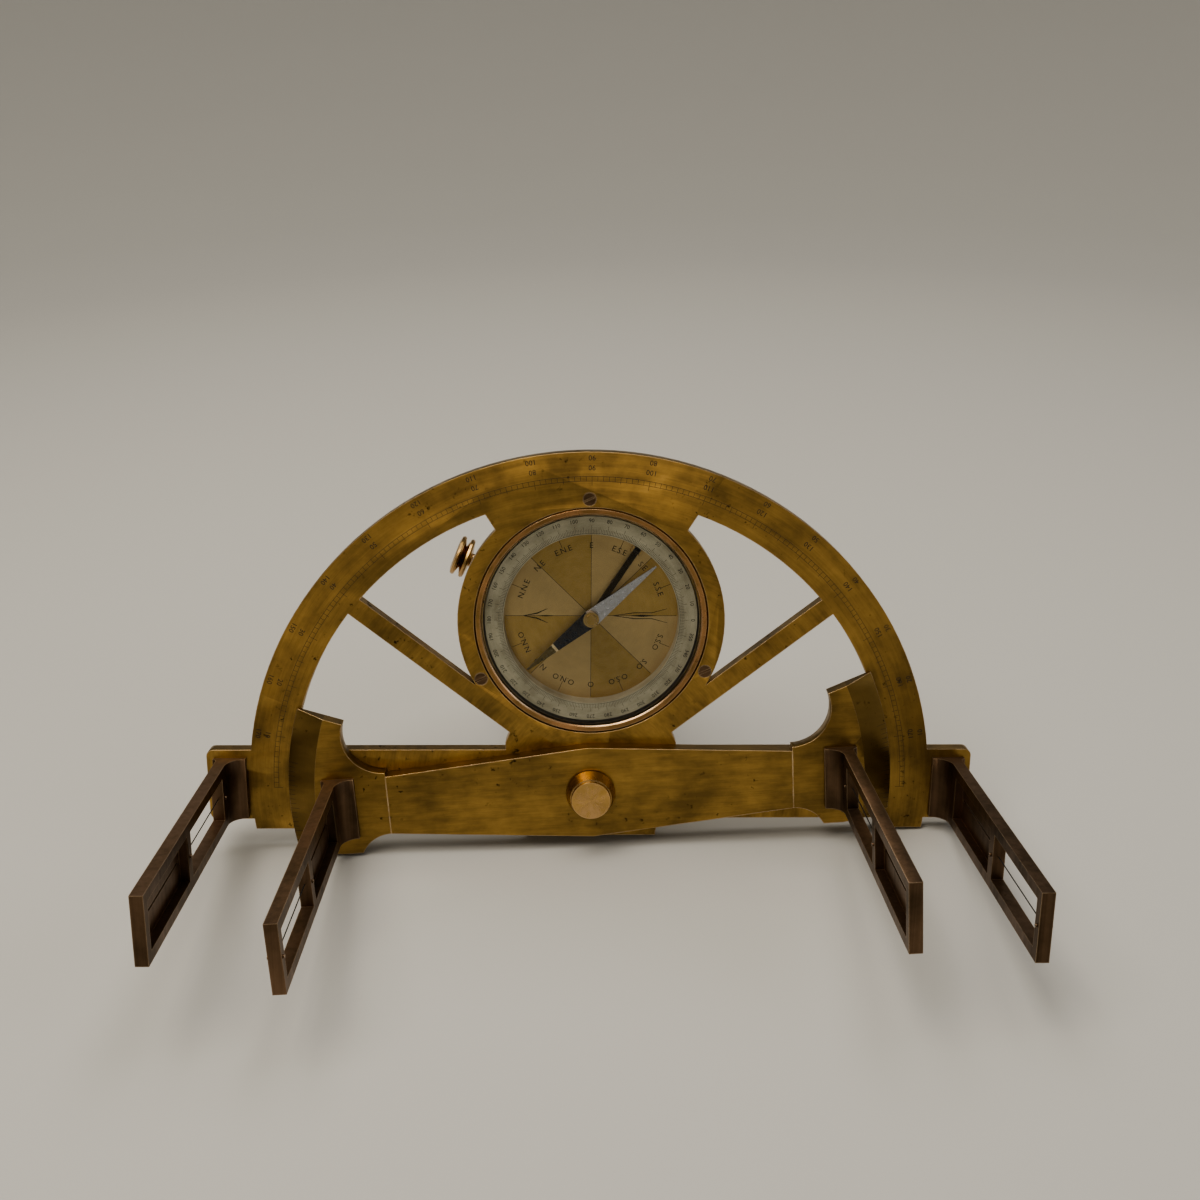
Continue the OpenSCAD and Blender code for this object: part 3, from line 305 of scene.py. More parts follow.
def grained_metal(name, matrix, base, toned, stain, rubbed, grain="line", rough=0.34, grain_size=0.35,
                  stain_share=0.62, edge=0.5, anisotropy=0.6, patch=14.0, band=None, metallic=1.0):
    """Old grained metal: grain and highlight run along the filing or turning, toned in patches,
    spotted where the lacquer failed, and bright on rubbed edges, which at a high edge share also make a painted
    highlight along lit edges. Beyond the radius band it is turned instead of filed, and browner, a painted shade
    for a sloping bevel."""
    material, tree, shader = new_material(name)
    point = local_point(tree, matrix)
    parts = add(tree, "ShaderNodeSeparateXYZ", [("Vector", point)])
    x, y, z = parts.outputs
    in_plane = add(tree, "ShaderNodeCombineXYZ", [("X", x), ("Y", y)]).outputs[0]
    radial = vector_node(tree, "LENGTH", in_plane, output=1)
    if grain == "circle":
        across = radial
        along = math_node(tree, "MULTIPLY", math_node(tree, "ARCTAN2", y, x), ARC_LENGTH)
        tangent = vector_node(tree, "CROSS_PRODUCT", (0.0, 0.0, 1.0), point)
    else:
        across, along = (y, x) if grain == "line" else (x, z)
        tangent = add(tree, "ShaderNodeCombineXYZ", X=1.0 if grain == "line" else 0.0,
                      Z=0.0 if grain == "line" else 1.0).outputs[0]
    along_grain = math_node(tree, "MULTIPLY", along, GRAIN_STRETCH)
    along_streak = math_node(tree, "MULTIPLY", along, STREAK_STRETCH)
    half_z = math_node(tree, "MULTIPLY", z, 0.5)
    lines = add(tree, "ShaderNodeCombineXYZ", [("X", across), ("Y", along_grain), ("Z", half_z)]).outputs[0]
    streaks = add(tree, "ShaderNodeCombineXYZ", [("X", across), ("Y", along_streak), ("Z", z)]).outputs[0]
    fine = noise(tree, lines, grain_size * MM, 4.0, 0.7)
    streak = noise(tree, streaks, STREAK_SIZE, 4.0, 0.6)
    if band:
        beyond = stretched(tree, radial, band, band + 0.1 * MM)
        rings = add(tree, "ShaderNodeCombineXYZ", [("X", radial)]).outputs[0]
        fine = blend_numbers(tree, beyond, fine, noise(tree, rings, grain_size * MM, 4.0, 0.7))
    cloud = noise(tree, point, patch * MM, 5.0, 0.6)
    spots = noise(tree, point, SPOT_SIZE, 3.0, 0.65)
    wide = noise(tree, point, WIDE_SIZE, 2.0, 0.5)
    tone = math_node(tree, "ADD", math_node(tree, "MULTIPLY", cloud, 0.65),
                     math_node(tree, "MULTIPLY", streak, 0.35))
    skin = mixed(tree, stretched(tree, tone, 0.36, 0.62), base, toned)
    # the turned band is browned as a painted shade for the darker sloping bevel
    if band:
        skin = mixed(tree, math_node(tree, "MULTIPLY", beyond, 0.75), skin, toned)
    skin = mixed(tree, stretched(tree, fine, 0.3, 0.72, 0.0, 0.22), skin, stain)
    dark = math_node(tree, "MULTIPLY", stretched(tree, spots, stain_share, stain_share + 0.07),
                     stretched(tree, wide, 0.48, 0.6))
    skin = mixed(tree, dark, skin, stain)
    # pale edges: bare brass where rubbed, and at a high edge share a painted highlight on lit edges
    rim = math_node(tree, "MULTIPLY", worn_edge(tree, RUB_AND_HIGHLIGHT_WIDTH), stretched(tree, streak, 0.3, 0.55))
    rim = math_node(tree, "MULTIPLY", rim, edge)
    skin = mixed(tree, rim, skin, rubbed)
    roughness = math_node(tree, "ADD", stretched(tree, tone, 0.3, 0.7, rough - 0.06, rough + 0.1),
                          math_node(tree, "MULTIPLY", dark, 0.25))
    roughness = math_node(tree, "SUBTRACT", roughness, math_node(tree, "MULTIPLY", rim, 0.12))
    height = math_node(tree, "ADD", fine, math_node(tree, "MULTIPLY", spots, 0.6))
    bump = add(tree, "ShaderNodeBump", [("Height", height)], Strength=0.22, Distance=GRAIN_DEPTH)
    turn = add(tree, "ShaderNodeMapping", [("Vector", tangent)], vector_type="VECTOR")
    turn.inputs["Rotation"].default_value = matrix.to_euler()
    world = add(tree, "ShaderNodeVectorTransform", [("Vector", turn.outputs[0])], vector_type="VECTOR",
                convert_from="OBJECT", convert_to="WORLD")
    shader.inputs["Metallic"].default_value = metallic
    shader.inputs["Anisotropic"].default_value = anisotropy
    for key, socket in (("Base Color", skin), ("Roughness", roughness), ("Normal", bump.outputs[0]),
                        ("Tangent", world.outputs[0])):
        tree.links.new(socket, shader.inputs[key])
    return material


def plain(name, base, rough, metallic=0.0, **settings):
    """One even finish."""
    material, tree, shader = new_material(name)
    for key, value in (("Base Color", base), ("Roughness", rough), ("Metallic", metallic), *settings.items()):
        shader.inputs[key.replace("_", " ")].default_value = value
    return material


def blued_needle(name, colours):
    """Needle steel: one half bare and bright, the other heat blued as far as a thin bright collar,
    with a paler point beyond it, painted dull brass as a reflection of the gilt dial. The change of colour tells
    north from south."""
    material, tree, shader = new_material(name)
    point = local_point(tree, NEEDLE)
    x = add(tree, "ShaderNodeSeparateXYZ", [("Vector", point)]).outputs[0]
    blue_end, collar_end = -13.4 * MM, -14.2 * MM
    painted_dial_reflection = linear("#6A5A3C")
    skin = mixed(tree, stretched(tree, x, -0.1 * MM, 0.1 * MM), colours.blued, colours.steel)
    skin = mixed(tree, stretched(tree, x, blue_end + 0.1 * MM, blue_end), skin, colours.rubbed)
    # the point beyond the collar is a painted reflection of the dial in the polished tip
    skin = mixed(tree, stretched(tree, x, collar_end + 0.1 * MM, collar_end), skin, painted_dial_reflection)
    scratch = noise(tree, point, 1.2 * MM, 4.0, 0.6)
    skin = mixed(tree, stretched(tree, scratch, 0.45, 0.75, 0.0, 0.35), skin, colours.tarnish)
    tree.links.new(skin, shader.inputs["Base Color"])
    tree.links.new(stretched(tree, scratch, 0.3, 0.7, 0.22, 0.4), shader.inputs["Roughness"])
    shader.inputs["Metallic"].default_value = 1.0
    return material


def dial_gilt(name, colours):
    """Gilt dial, finely turned and frosted, in eight sectors of which every second one is paler, a painted
    reflection of the light the sectors catch.
    """
    material = grained_metal(name, DIAL, colours.gilt, colours.brass, colours.tarnish, colours.gilt, "circle",
                             rough=0.46, grain_size=0.25, stain_share=0.8, edge=0.0, anisotropy=0.45,
                             patch=30.0, metallic=0.7)
    tree = material.node_tree
    shader = tree.nodes["Principled BSDF"]
    parts = add(tree, "ShaderNodeSeparateXYZ", [("Vector", local_point(tree, DIAL))])
    turns = math_node(tree, "ARCTAN2", parts.outputs["Y"], parts.outputs["X"])
    # every second sector is mixed towards the pale edge colour as a painted reflection
    sector = math_node(tree, "FLOOR", math_node(tree, "DIVIDE", turns, math.radians(45)))
    painted_reflection_sector = math_node(tree, "PINGPONG", sector, 1.0)
    skin = shader.inputs["Base Color"].links[0].from_socket
    tree.links.new(mixed(tree, math_node(tree, "MULTIPLY", painted_reflection_sector, 0.3), skin, colours.rubbed),
                   shader.inputs["Base Color"])
    return material


def compass_glass(name, colours):
    """Thin flat glass, clear, with a faint dusty bloom in its reflection."""
    material, tree, shader = new_material(name)
    out = tree.nodes["Material Output"]
    clear = add(tree, "ShaderNodeBsdfTransparent", Color=colours.glass)
    gloss = add(tree, "ShaderNodeBsdfGlossy", Roughness=0.06)
    glance = add(tree, "ShaderNodeFresnel", IOR=1.45)
    share = math_node(tree, "MULTIPLY", glance.outputs[0], 0.6)
    blend = add(tree, "ShaderNodeMixShader", [("Fac", share)])
    tree.links.new(clear.outputs[0], blend.inputs[1])
    tree.links.new(gloss.outputs[0], blend.inputs[2])
    tree.links.new(blend.outputs[0], out.inputs["Surface"])
    tree.nodes.remove(shader)
    return material


# ------------------------------------------------------------------ mesh helpers

def link(name, mesh, matrix=None):
    """A new object holding the mesh, with any placing put into its vertices."""
    if matrix is not None:
        mesh.transform(matrix)
    obj = bpy.data.objects.new(name, mesh)
    bpy.context.scene.collection.objects.link(obj)
    return obj


def wear(obj, body, material):
    """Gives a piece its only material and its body."""
    obj.data.materials.clear()
    obj.data.materials.append(material)
    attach(obj, body)
    return obj


def record_slot(node):
    """Name of the record's material slot of a CAD node."""
    for entry in frame["record"]["subparts"]:
        if entry["node"] == node:
            return entry["material_slot"]
    raise RuntimeError(f"{node} isn't in the record")


def body_of(node):
    """Name of the body that a CAD node belongs to."""
    for body, members in frame["record"]["behaviour"]["bodies"].items():
        if node in members:
            return body
    raise RuntimeError(f"{node} is in no body")


def softened(node, width, material):
    """A copy of a CAD node with its sharp edges rounded, shown in its place."""
    mesh = NODES[node].data.copy()
    mesh.name = node + "_soft"
    work = bmesh.new()
    work.from_mesh(mesh)
    bmesh.ops.remove_doubles(work, verts=work.verts, dist=0.002 * MM)
    bmesh.ops.dissolve_degenerate(work, edges=work.edges, dist=0.002 * MM)
    bmesh.ops.dissolve_limit(work, angle_limit=math.radians(0.3), verts=work.verts, edges=work.edges)
    work.to_mesh(mesh)
    work.free()
    obj = link(node + "_soft", mesh)
    bevel = obj.modifiers.new("soft", "BEVEL")
    bevel.width = width
    bevel.segments = 2
    bevel.limit_method = "ANGLE"
    bevel.angle_limit = math.radians(35)
    bevel.use_clamp_overlap = True
    bevel.harden_normals = True
    made = bpy.data.meshes.new_from_object(obj.evaluated_get(bpy.context.evaluated_depsgraph_get()))
    obj.modifiers.clear()
    obj.data = made
    wear(obj, body_of(node), material)
    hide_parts(node)
    return obj


def strip(points, widths, height):
    """Flat closed bar along a polyline, its widths given at each point, from as far below the face
    as it stands above it."""
    work = bmesh.new()
    rows = []
    for i, (point, width) in enumerate(zip(points, widths)):
        before, after = points[max(i - 1, 0)], points[min(i + 1, len(points) - 1)]
        run = (Vector(after) - Vector(before)).normalized()
        side = Vector((-run.y, run.x)) * width / 2
        corners = [Vector(point) + side, Vector(point) - side]
        rows.append([work.verts.new((c.x, c.y, h)) for h in (-height, height) for c in corners])
    for a, b in zip(rows, rows[1:]):
        for i, j in ((0, 2), (2, 3), (3, 1), (1, 0)):
            work.faces.new((a[i], a[j], b[j], b[i]))
    work.faces.new((rows[0][0], rows[0][1], rows[0][3], rows[0][2]))
    work.faces.new((rows[-1][2], rows[-1][3], rows[-1][1], rows[-1][0]))
    bmesh.ops.recalc_face_normals(work, faces=work.faces)
    mesh = bpy.data.meshes.new("strip")
    work.to_mesh(mesh)
    work.free()
    return mesh


def ring_line(r, start, end, width, height):
    """Thin circular line between two angles in degrees."""
    steps = max(int(abs(end - start) / 2), 8)
    angles = [math.radians(start + (end - start) * i / steps) for i in range(steps + 1)]
    return strip([(r * math.cos(a), r * math.sin(a)) for a in angles], [width] * len(angles), height)


def figure(words, size, height):
    """Words as a flat mesh, centred on the origin."""
    curve = bpy.data.curves.new("words", "FONT")
    curve.body = words
    curve.size = size * 1.4
    curve.align_x = "CENTER"
    curve.align_y = "CENTER"
    curve.resolution_u = 2
    curve.extrude = height
    obj = bpy.data.objects.new("words", curve)
    bpy.context.scene.collection.objects.link(obj)
    mesh = bpy.data.meshes.new_from_object(obj.evaluated_get(bpy.context.evaluated_depsgraph_get()))
    bpy.data.objects.remove(obj)
    return mesh


def placed(mesh, r, angle, turn):
    """The mesh at a radius and angle in degrees, turned about its own centre."""
    a = math.radians(angle)
    mesh.transform(Matrix.Translation((r * math.cos(a), r * math.sin(a), 0.0))
                   @ Matrix.Rotation(a + math.radians(turn), 4, "Z"))
    return mesh


def joined(name, meshes, matrix):
    """One object from many meshes."""
    work = bmesh.new()
    for mesh in meshes:
        work.from_mesh(mesh)
    whole = bpy.data.meshes.new(name)
    work.to_mesh(whole)
    work.free()
    return link(name, whole, matrix)


# ------------------------------------------------------------------ divided arcs, by geometry nodes

ARC_SEED = 7


def divided_arc_tree():
    """Geometry nodes for a divided arc: one bar per division, longer at every fifth and tenth."""
    tree = bpy.data.node_groups.new("Divided arc", "GeometryNodeTree")
    sockets = (("Count", "NodeSocketInt"), ("First", "NodeSocketFloat"), ("Step", "NodeSocketFloat"),
               ("Radius", "NodeSocketFloat"), ("Short", "NodeSocketFloat"), ("Middle", "NodeSocketFloat"),
               ("Long", "NodeSocketFloat"), ("Width", "NodeSocketFloat"), ("Height", "NodeSocketFloat"),
               ("Offset", "NodeSocketInt"), ("Seed", "NodeSocketInt"), ("Material", "NodeSocketMaterial"))
    for name, kind in sockets:
        tree.interface.new_socket(name, in_out="INPUT", socket_type=kind)
    tree.interface.new_socket("Geometry", in_out="OUTPUT", socket_type="NodeSocketGeometry")
    given = tree.nodes.new("NodeGroupInput").outputs
    index = tree.nodes.new("GeometryNodeInputIndex").outputs[0]
    number = math_node(tree, "ADD", index, given["Offset"])
    angle = math_node(tree, "ADD", given["First"], math_node(tree, "MULTIPLY", index, given["Step"]))
    fifth = math_node(tree, "LESS_THAN", math_node(tree, "MODULO", number, 5.0), 0.5)
    tenth = math_node(tree, "LESS_THAN", math_node(tree, "MODULO", number, 10.0), 0.5)
    to_middle = math_node(tree, "SUBTRACT", given["Middle"], given["Short"])
    to_long = math_node(tree, "SUBTRACT", given["Long"], given["Middle"])
    plus_five = math_node(tree, "MULTIPLY", fifth, to_middle)
    plus_ten = math_node(tree, "MULTIPLY", tenth, to_long)
    long = math_node(tree, "ADD", given["Short"], math_node(tree, "ADD", plus_five, plus_ten))
    uneven = add(tree, "FunctionNodeRandomValue", [("Seed", given["Seed"])], data_type="FLOAT")
    uneven.inputs[2].default_value, uneven.inputs[3].default_value = 0.97, 1.03
    long = math_node(tree, "MULTIPLY", long, uneven.outputs[1])
    centre = math_node(tree, "ADD", given["Radius"], math_node(tree, "MULTIPLY", long, 0.5))
    x = math_node(tree, "MULTIPLY", centre, math_node(tree, "COSINE", angle))
    y = math_node(tree, "MULTIPLY", centre, math_node(tree, "SINE", angle))
    place = add(tree, "ShaderNodeCombineXYZ", [("X", x), ("Y", y)])
    points = add(tree, "GeometryNodePoints", [("Count", given["Count"]), ("Position", place.outputs[0])])
    bar = add(tree, "GeometryNodeMeshCube")
    turn = add(tree, "ShaderNodeCombineXYZ", [("Z", angle)])
    size = add(tree, "ShaderNodeCombineXYZ", [("X", long), ("Y", given["Width"]), ("Z", given["Height"])])
    bars = add(tree, "GeometryNodeInstanceOnPoints",
               [("Points", points.outputs[0]), ("Instance", bar.outputs[0]),
                ("Rotation", turn.outputs[0]), ("Scale", size.outputs[0])])
    real = add(tree, "GeometryNodeRealizeInstances", [("Geometry", bars.outputs[0])])
    done = add(tree, "GeometryNodeSetMaterial",
               [("Geometry", real.outputs[0]), ("Material", given["Material"])])
    out = tree.nodes.new("NodeGroupOutput")
    tree.links.new(done.outputs[0], out.inputs[0])
    return tree


def divided_arc(name, matrix, body, slot, material, **values):
    """Runs the divided arc and keeps its mesh. Angles are in degrees, lengths in metres."""
    tree = bpy.data.node_groups.get("Divided arc") or divided_arc_tree()
    obj = link(name, bpy.data.meshes.new(name))
    modifier = obj.modifiers.new("divide", "NODES")
    modifier.node_group = tree
    values.update(First=math.radians(values["First"]), Step=math.radians(values["Step"]), Seed=ARC_SEED,
                  Material=material)
    for item in tree.interface.items_tree:
        if item.in_out == "INPUT":
            modifier[item.identifier] = values[item.name]
    obj.update_tag()
    bpy.context.view_layer.update()
    made = bpy.data.meshes.new_from_object(obj.evaluated_get(bpy.context.evaluated_depsgraph_get()))
    obj.modifiers.clear()
    obj.data = made
    made.transform(matrix)
    return wear(obj, body, material)


# ------------------------------------------------------------------ operators

class Step(bpy.types.Operator):
    """Shared parts of the steps below."""
    bl_idname = "graphometer.step"
    bl_label = "Step"
    bl_options = {"REGISTER", "UNDO"}

    def execute(self, context):
        self.sizes = context.scene.graphometer_sizes
        self.colours = context.scene.graphometer_colours
        self.build()
        return {"FINISHED"}

    def build(self):
        raise NotImplementedError

    def wax(self):
        """The one material that fills every engraved line."""
        return bpy.data.materials.get("Wax") or plain("Wax", self.colours.wax, 0.7)


class GRAPHOMETER_OT_finishes(Step):
    """Give every CAD node its finish, and round the edges of the large filed pieces."""
    bl_idname = "graphometer.finishes"
    bl_label = "Finishes"

    def build(self):
        c = self.colours
        old = (c.brass, c.tarnish, c.stain, c.rubbed)
        brown = (c.sight, c.sight_dark, c.stain, c.rubbed)
        dark = (c.stain, c.wax, c.wax, c.sight)
        finishes = {
            # golden and olive, with grain that follows the arc and dark freckles where lacquer failed
            "limb_brass": grained_metal("Limb brass, grained round the arc", PLATE, *old, grain="circle",
                                        edge=0.8),
            # long file strokes, pale rubbed rims at full strength as a painted highlight on the lit top edge, and
            # a turned band on the verniers browned as painted shade for their slope
            "bar_brass": grained_metal("Alidade brass, draw filed", BAR, *old, grain="line", stain_share=0.63,
                                       patch=20.0, edge=1.0, band=bevelled_edge()[1][0]),
            # quiet bronze brown that makes the sights the darkest part
            "sight_brass": grained_metal("Sight brass, toned bronze brown", PLATE, *brown, grain="upright",
                                         rough=0.38, edge=0.35, stain_share=0.7, patch=24.0),
            # small dark heads
            "screw_brass": grained_metal("Screw brass, toned", PLATE, *brown, rough=0.36),
            # peach bright, with tight lathe rings that spread the highlight
            "turned_brass": grained_metal("Turned head brass", PLATE, c.turned, c.brass, c.tarnish, c.rubbed,
                                          grain="circle", rough=0.26, grain_size=0.3, stain_share=0.7,
                                          anisotropy=0.8),
            # a thin coppery glint round the glass
            "bezel_brass": grained_metal("Bezel brass, coppery", SEAT, c.copper, c.tarnish, c.stain, c.rubbed,
                                         grain="circle", rough=0.28, edge=0.9),
            # lathe rings and wide patches of tone on the knee and socket
            "knee_brass": grained_metal("Knee brass, turned", SEAT, *old, grain="circle", rough=0.34,
                                        patch=24.0),
            "dial_brass": dial_gilt("Dial, gilt", c),
            # matt and warm, so the divisions read from every side
            "silvered": grained_metal("Silvered ring, dull", SEAT, c.silvered, linear("#B5A68E"),
                                      linear("#7D705C"), c.silvered, grain="circle", rough=0.55, edge=0.2,
                                      anisotropy=0.3, stain_share=0.7, metallic=0.2),
            # nearly black strip over the pale dial, darkened as a painted shadow for the shade the lever casts on
            # the dial
            "lifter": grained_metal("Lifter brass, darkened as painted shadow", PLATE, *dark, rough=0.4),
            "needle_steel": blued_needle("Needle steel, half blued", c),
            # bright point of the post and the hinge pin
            "fine_steel": plain("Polished steel", c.steel, 0.25, 1.0),
            # black threads in the windows
            "hair": plain("Horsehair", c.hair, 0.6),
            "glass": compass_glass("Compass glass", c),
            # dark red stone in the needle's cap
            "agate": plain("Agate", c.agate, 0.15),
        }
        rounded = ("limb_plate", "alidade_bar", "fixed_sight_left", "fixed_sight_right",
                   "alidade_sight_left", "alidade_sight_right")
        for node, obj in NODES.items():
            material = finishes["lifter" if node == "lifter_lever" else record_slot(node)]
            obj.data.materials.clear()
            obj.data.materials.append(material)
            if node in rounded:
                softened(node, self.sizes.edge_soft, material)


class GRAPHOMETER_OT_limb_scale(Step):
    """Divide the limb in degrees, with two rows of figures read from outside the arc."""
    bl_idname = "graphometer.limb_scale"
    bl_label = "Limb scale"

    def build(self):
        s = self.sizes
        wax = self.wax()
        rule = LIMB_R - s.limb_rule
        divided_arc("limb_divisions", PLATE, "limb", "limb_brass", wax, Count=181, First=0.0, Step=1.0,
                    Offset=0, Radius=rule, Short=-s.limb_tick, Middle=-s.limb_tick_five, Long=-s.limb_tick_ten,
                    Width=s.line_w, Height=2 * s.lift)
        lines = [ring_line(rule, 0.0, 180.0, s.line_w, s.lift),
                 ring_line(rule - s.limb_tick, 0.0, 180.0, s.line_w, s.lift)]
        for degree in range(10, 180, 10):
            for row, words in ((1.6, str(degree)), (4.4, str(180 - degree))):
                lines.append(placed(figure(words, s.limb_figure, s.lift), LIMB_R - row * MM, degree, 90.0))
        wear(joined("limb_figures", lines, PLATE), "limb", wax)


class GRAPHOMETER_OT_verniers(Step):
    """Divide the two bevelled edges of the alidade, and mark its line of sight."""
    bl_idname = "graphometer.verniers"
    bl_label = "Verniers"

    def build(self):
        s = self.sizes
        wax = self.wax()
        edge, start = bevelled_edge()
        run = edge[0] - start[0]
        slope = math.atan2(start[1] - edge[1], run)
        for name, turn in (("right", 0.0), ("left", 180.0)):
            cone = BAR @ Matrix.Rotation(math.radians(turn), 4, "Z")
            marks = []
            for i in range(-10, 11):
                long = s.vernier_tick * (1.0 if i % 5 else 1.5)
                mark = strip([(edge[0] - long, 0.0), (edge[0] - 0.1 * MM, 0.0)], [s.line_w] * 2, s.lift)
                tilt = (Matrix.Translation((edge[0], 0, edge[1])) @ Matrix.Rotation(slope, 4, "Y")
                        @ Matrix.Translation((-edge[0], 0, 0)))
                mark.transform(Matrix.Rotation(math.radians(i * 0.95), 4, "Z") @ tilt)
                marks.append(mark)
            wear(joined(f"vernier_{name}", marks, cone), "alidade", wax)


class GRAPHOMETER_OT_degree_ring(Step):
    """Divide the silvered ring of the compass and number it at every tenth degree."""
    bl_idname = "graphometer.degree_ring"
    bl_label = "Degree ring"

    def build(self):
        s = self.sizes
        wax = self.wax()
        inner = inner_radius("degree_ring", RING)
        divided_arc("ring_divisions", RING, "limb", "silvered", wax, Count=360, First=0.0, Step=1.0,
                    Offset=0, Radius=inner + 0.3 * MM, Short=s.ring_tick, Middle=s.ring_tick_five,
                    Long=s.ring_tick_ten, Width=s.line_w * 0.8, Height=2 * s.lift)
        figures = [placed(figure(str(degree), s.ring_figure, s.lift), inner + 4.0 * MM, degree, -90.0)
                   for degree in range(0, 360, 10)]
        figures.append(ring_line(inner + 0.3 * MM, 0.0, 360.0, s.line_w * 0.8, s.lift))
        wear(joined("ring_figures", figures, RING), "limb", wax)


class GRAPHOMETER_OT_dial(Step):
    """Engrave the dial: cross lines, an arrow, a three-stemmed flower and the letters of the winds."""
    bl_idname = "graphometer.dial"
    bl_label = "Dial engraving"

    def build(self):
        s = self.sizes
        wax = self.wax()
        r = inner_radius("degree_ring", DIAL)
        w, hub = s.cut_w, 2.6 * MM
        lines = []
        for angle in range(0, 360, 45):
            lines.append(placed(strip([(hub, 0.0), (r * 0.985, 0.0)], [w, w], s.lift), 0.0, angle, 0.0))
        for angle in (22.5 + 45.0 * i for i in range(8)):
            lines.append(placed(strip([(r * 0.86, 0.0), (r * 0.985, 0.0)], [w, w], s.lift), 0.0, angle, 0.0))
        for side in (-1, 1):
            barb = [(-r * 0.78, 0.0), (-r * 0.62, side * r * 0.03), (-r * 0.5, side * r * 0.085)]
            lines.append(strip(barb, [w, 3 * w, w], s.lift))
            stem = [(r * 0.25, 0.0), (r * 0.5, side * r * 0.035), (r * 0.7, side * r * 0.035),
                    (r * 0.88, side * r * 0.085)]
            lines.append(strip(stem, [w, 2 * w, 1.6 * w, 0.8 * w], s.lift))
        lines.append(strip([(-r * 0.62, 0.0), (-r * 0.52, 0.0), (-r * 0.42, 0.0)], [w, 3 * w, w], s.lift))
        lines.append(strip([(r * 0.45, 0.0), (r * 0.58, 0.0), (r * 0.75, 0.0)], [w, 5 * w, w], s.lift))
        winds = {22.5: "S.S.E", 45: "S.E", 67.5: "E.S.E", 90: "E", 112.5: "E.N.E", 135: "N.E", 157.5: "N.N.E",
                 202.5: "N.N.O", 225: "N.O", 247.5: "O.N.O", 270: "O", 292.5: "O.S.O", 315: "S.O",
                 337.5: "S.S.O"}
        for angle, words in winds.items():
            lines.append(placed(figure(words, s.dial_letter, s.lift), r * 0.83, angle, -90.0))
        wear(joined("dial_engraving", lines, DIAL), "limb", wax)


# the camera, in the limb plate's frame: roll, turn and look down, then its distance from the pivot
CAMERA_LENS = 41.9
CAMERA_TURNS = ((0.37, "Z"), (-1.13, "Y"), (-15.58, "X"))
CAMERA_OFFSET = Vector((2.8, 55.3, 413.3)) * MM

# name, place in metres, size in metres, power in watts, colour
LAMPS = (
    ("key", (-0.35, -0.25, 0.95), 0.7, 6.0, "#FFF6EA"),
    ("fill", (0.8, -0.3, 0.5), 0.7, 1.5, "#F2F4FF"),
    ("front", (-0.2, -1.15, 0.5), 0.8, 1.6, "#FFEFD8"),
    ("top", (0.0, 0.25, 1.0), 0.9, 7.0, "#FFF8F0"),
)
LAMP_AIM = Vector((0.0, 0.0, 0.05))


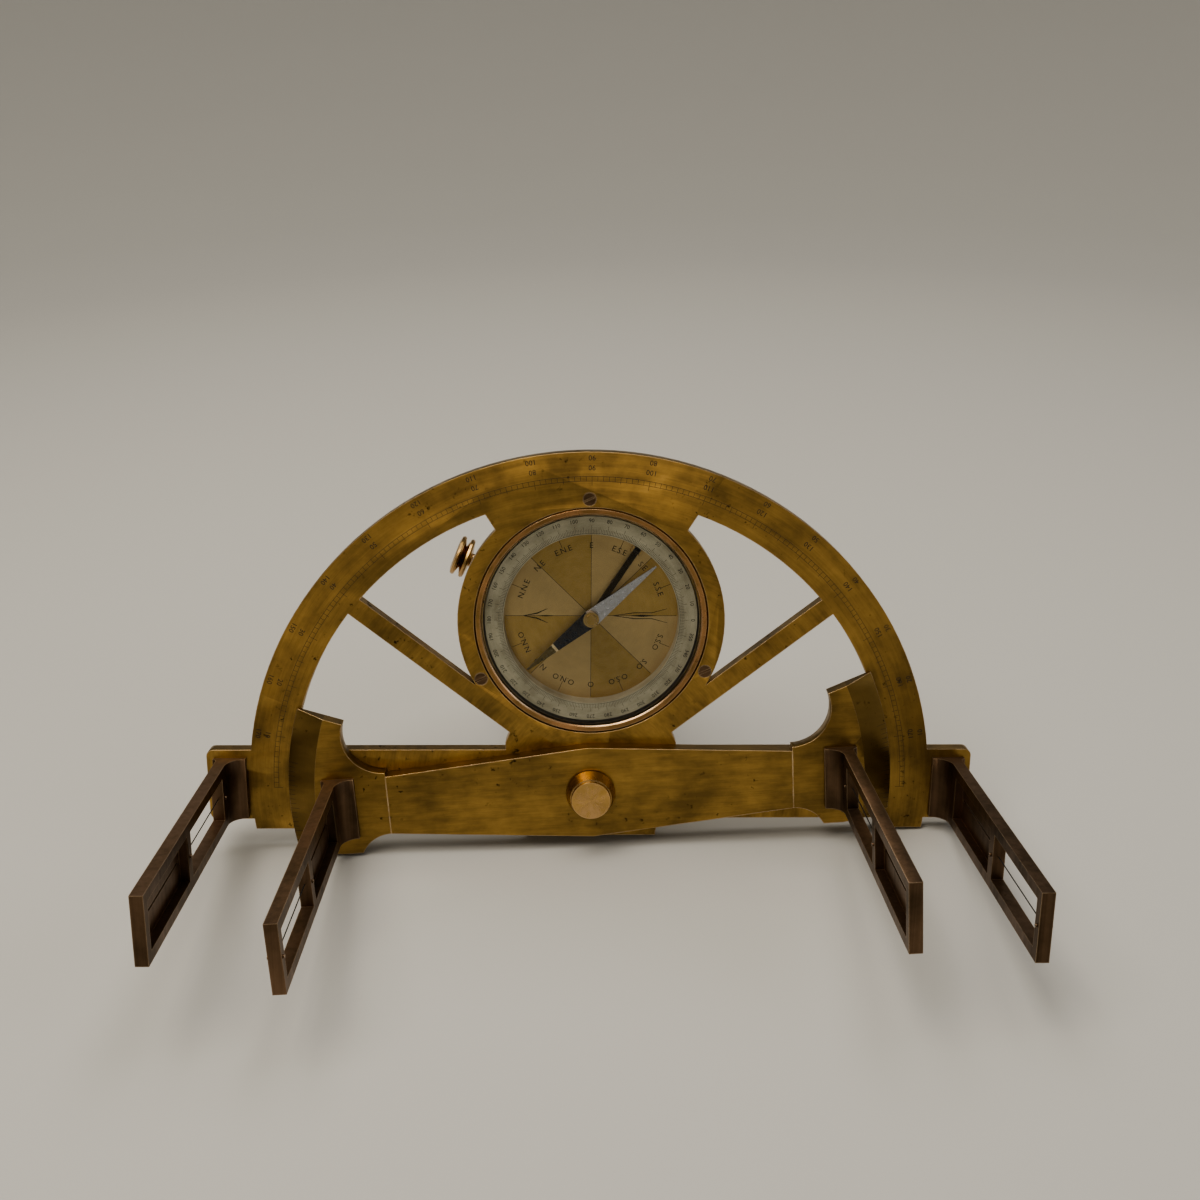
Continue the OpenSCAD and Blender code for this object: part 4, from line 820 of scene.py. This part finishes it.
class GRAPHOMETER_OT_stage(Step):
    """Pale floor that rises all round into a backdrop, soft lamps and the camera."""
    bl_idname = "graphometer.stage"
    bl_label = "Stage"

    def build(self):
        far = self.sizes.backdrop
        bend = far * 0.5
        profile = [(far * 0.25 * i, 0.0) for i in range(3)]
        profile += [(far - bend + bend * math.sin(a), bend - bend * math.cos(a))
                    for a in (math.radians(9 * i) for i in range(1, 11))]
        profile.append((far, far))
        work = bmesh.new()
        rim = [work.verts.new((r, 0.0, z)) for r, z in profile]
        edges = [work.edges.new(pair) for pair in zip(rim, rim[1:])]
        bmesh.ops.spin(work, geom=rim + edges, axis=(0, 0, 1), cent=(0, 0, 0), steps=96, angle=math.tau,
                       use_merge=True)
        bmesh.ops.remove_doubles(work, verts=work.verts, dist=MM)
        bmesh.ops.recalc_face_normals(work, faces=work.faces)
        if sum(face.normal.z for face in work.faces) < 0:
            bmesh.ops.reverse_faces(work, faces=work.faces)
        mesh = bpy.data.meshes.new("floor")
        work.to_mesh(mesh)
        work.free()
        floor = link("floor", mesh)
        for face in mesh.polygons:
            face.use_smooth = True
        mesh.materials.append(plain("Floor paper", self.colours.floor, 0.75))
        floor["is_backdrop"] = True

        world = bpy.data.worlds.new("studio")
        world.use_nodes = True
        world.node_tree.nodes["Background"].inputs[0].default_value = linear("#C2BFB9")
        world.node_tree.nodes["Background"].inputs[1].default_value = 0.4
        bpy.context.scene.world = world
        for name, place, size, power, tint in LAMPS:
            lamp = bpy.data.lights.new(name, "AREA")
            lamp.shape = "DISK"
            lamp.size = size
            lamp.energy = power
            lamp.color = linear(tint)[:3]
            obj = bpy.data.objects.new(name, lamp)
            obj.location = place
            obj.rotation_euler = (LAMP_AIM - Vector(place)).to_track_quat("-Z", "Y").to_euler()
            bpy.context.scene.collection.objects.link(obj)

        view = bpy.data.cameras.new("camera")
        view.sensor_width = 36.0
        view.lens = CAMERA_LENS
        view.clip_start = 0.01
        camera = bpy.data.objects.new("camera", view)
        aim = Matrix.Identity(4)
        for degrees, axis in CAMERA_TURNS:
            aim = aim @ Matrix.Rotation(math.radians(degrees), 4, axis)
        camera.matrix_world = PLATE @ aim @ Matrix.Translation(CAMERA_OFFSET)
        bpy.context.scene.collection.objects.link(camera)
        bpy.context.scene.camera = camera
        bpy.context.scene.view_settings.view_transform = "AgX"
        bpy.context.scene.view_settings.look = "AgX - Medium High Contrast"


class GRAPHOMETER_PT_panel(bpy.types.Panel):
    """Sizes, colours and the steps in order."""
    bl_idname = "GRAPHOMETER_PT_panel"
    bl_label = "Graphometer"
    bl_space_type = "VIEW_3D"
    bl_region_type = "UI"
    bl_category = "Graphometer"

    def draw(self, context):
        for group in (context.scene.graphometer_sizes, context.scene.graphometer_colours):
            box = self.layout.box()
            for key in group.__annotations__:
                box.prop(group, key)
        for step in STEPS:
            self.layout.operator(step.bl_idname)


STEPS = (GRAPHOMETER_OT_finishes, GRAPHOMETER_OT_limb_scale, GRAPHOMETER_OT_verniers,
         GRAPHOMETER_OT_degree_ring, GRAPHOMETER_OT_dial, GRAPHOMETER_OT_stage)
CLASSES = (GraphometerSizes, GraphometerColours, *STEPS, GRAPHOMETER_PT_panel)


def register():
    for cls in CLASSES:
        bpy.utils.register_class(cls)
    bpy.types.Scene.graphometer_sizes = bpy.props.PointerProperty(type=GraphometerSizes)
    bpy.types.Scene.graphometer_colours = bpy.props.PointerProperty(type=GraphometerColours)


def unregister():
    del bpy.types.Scene.graphometer_sizes
    del bpy.types.Scene.graphometer_colours
    for cls in reversed(CLASSES):
        bpy.utils.unregister_class(cls)


def corners():
    """The whole object's box as plain lists."""
    low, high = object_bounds()
    return [list(low), list(high)]


def main():
    register()
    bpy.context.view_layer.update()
    for step in STEPS:
        group, name = step.bl_idname.split(".")
        getattr(getattr(bpy.ops, group), name)()


if __name__ == "__main__":
    main()
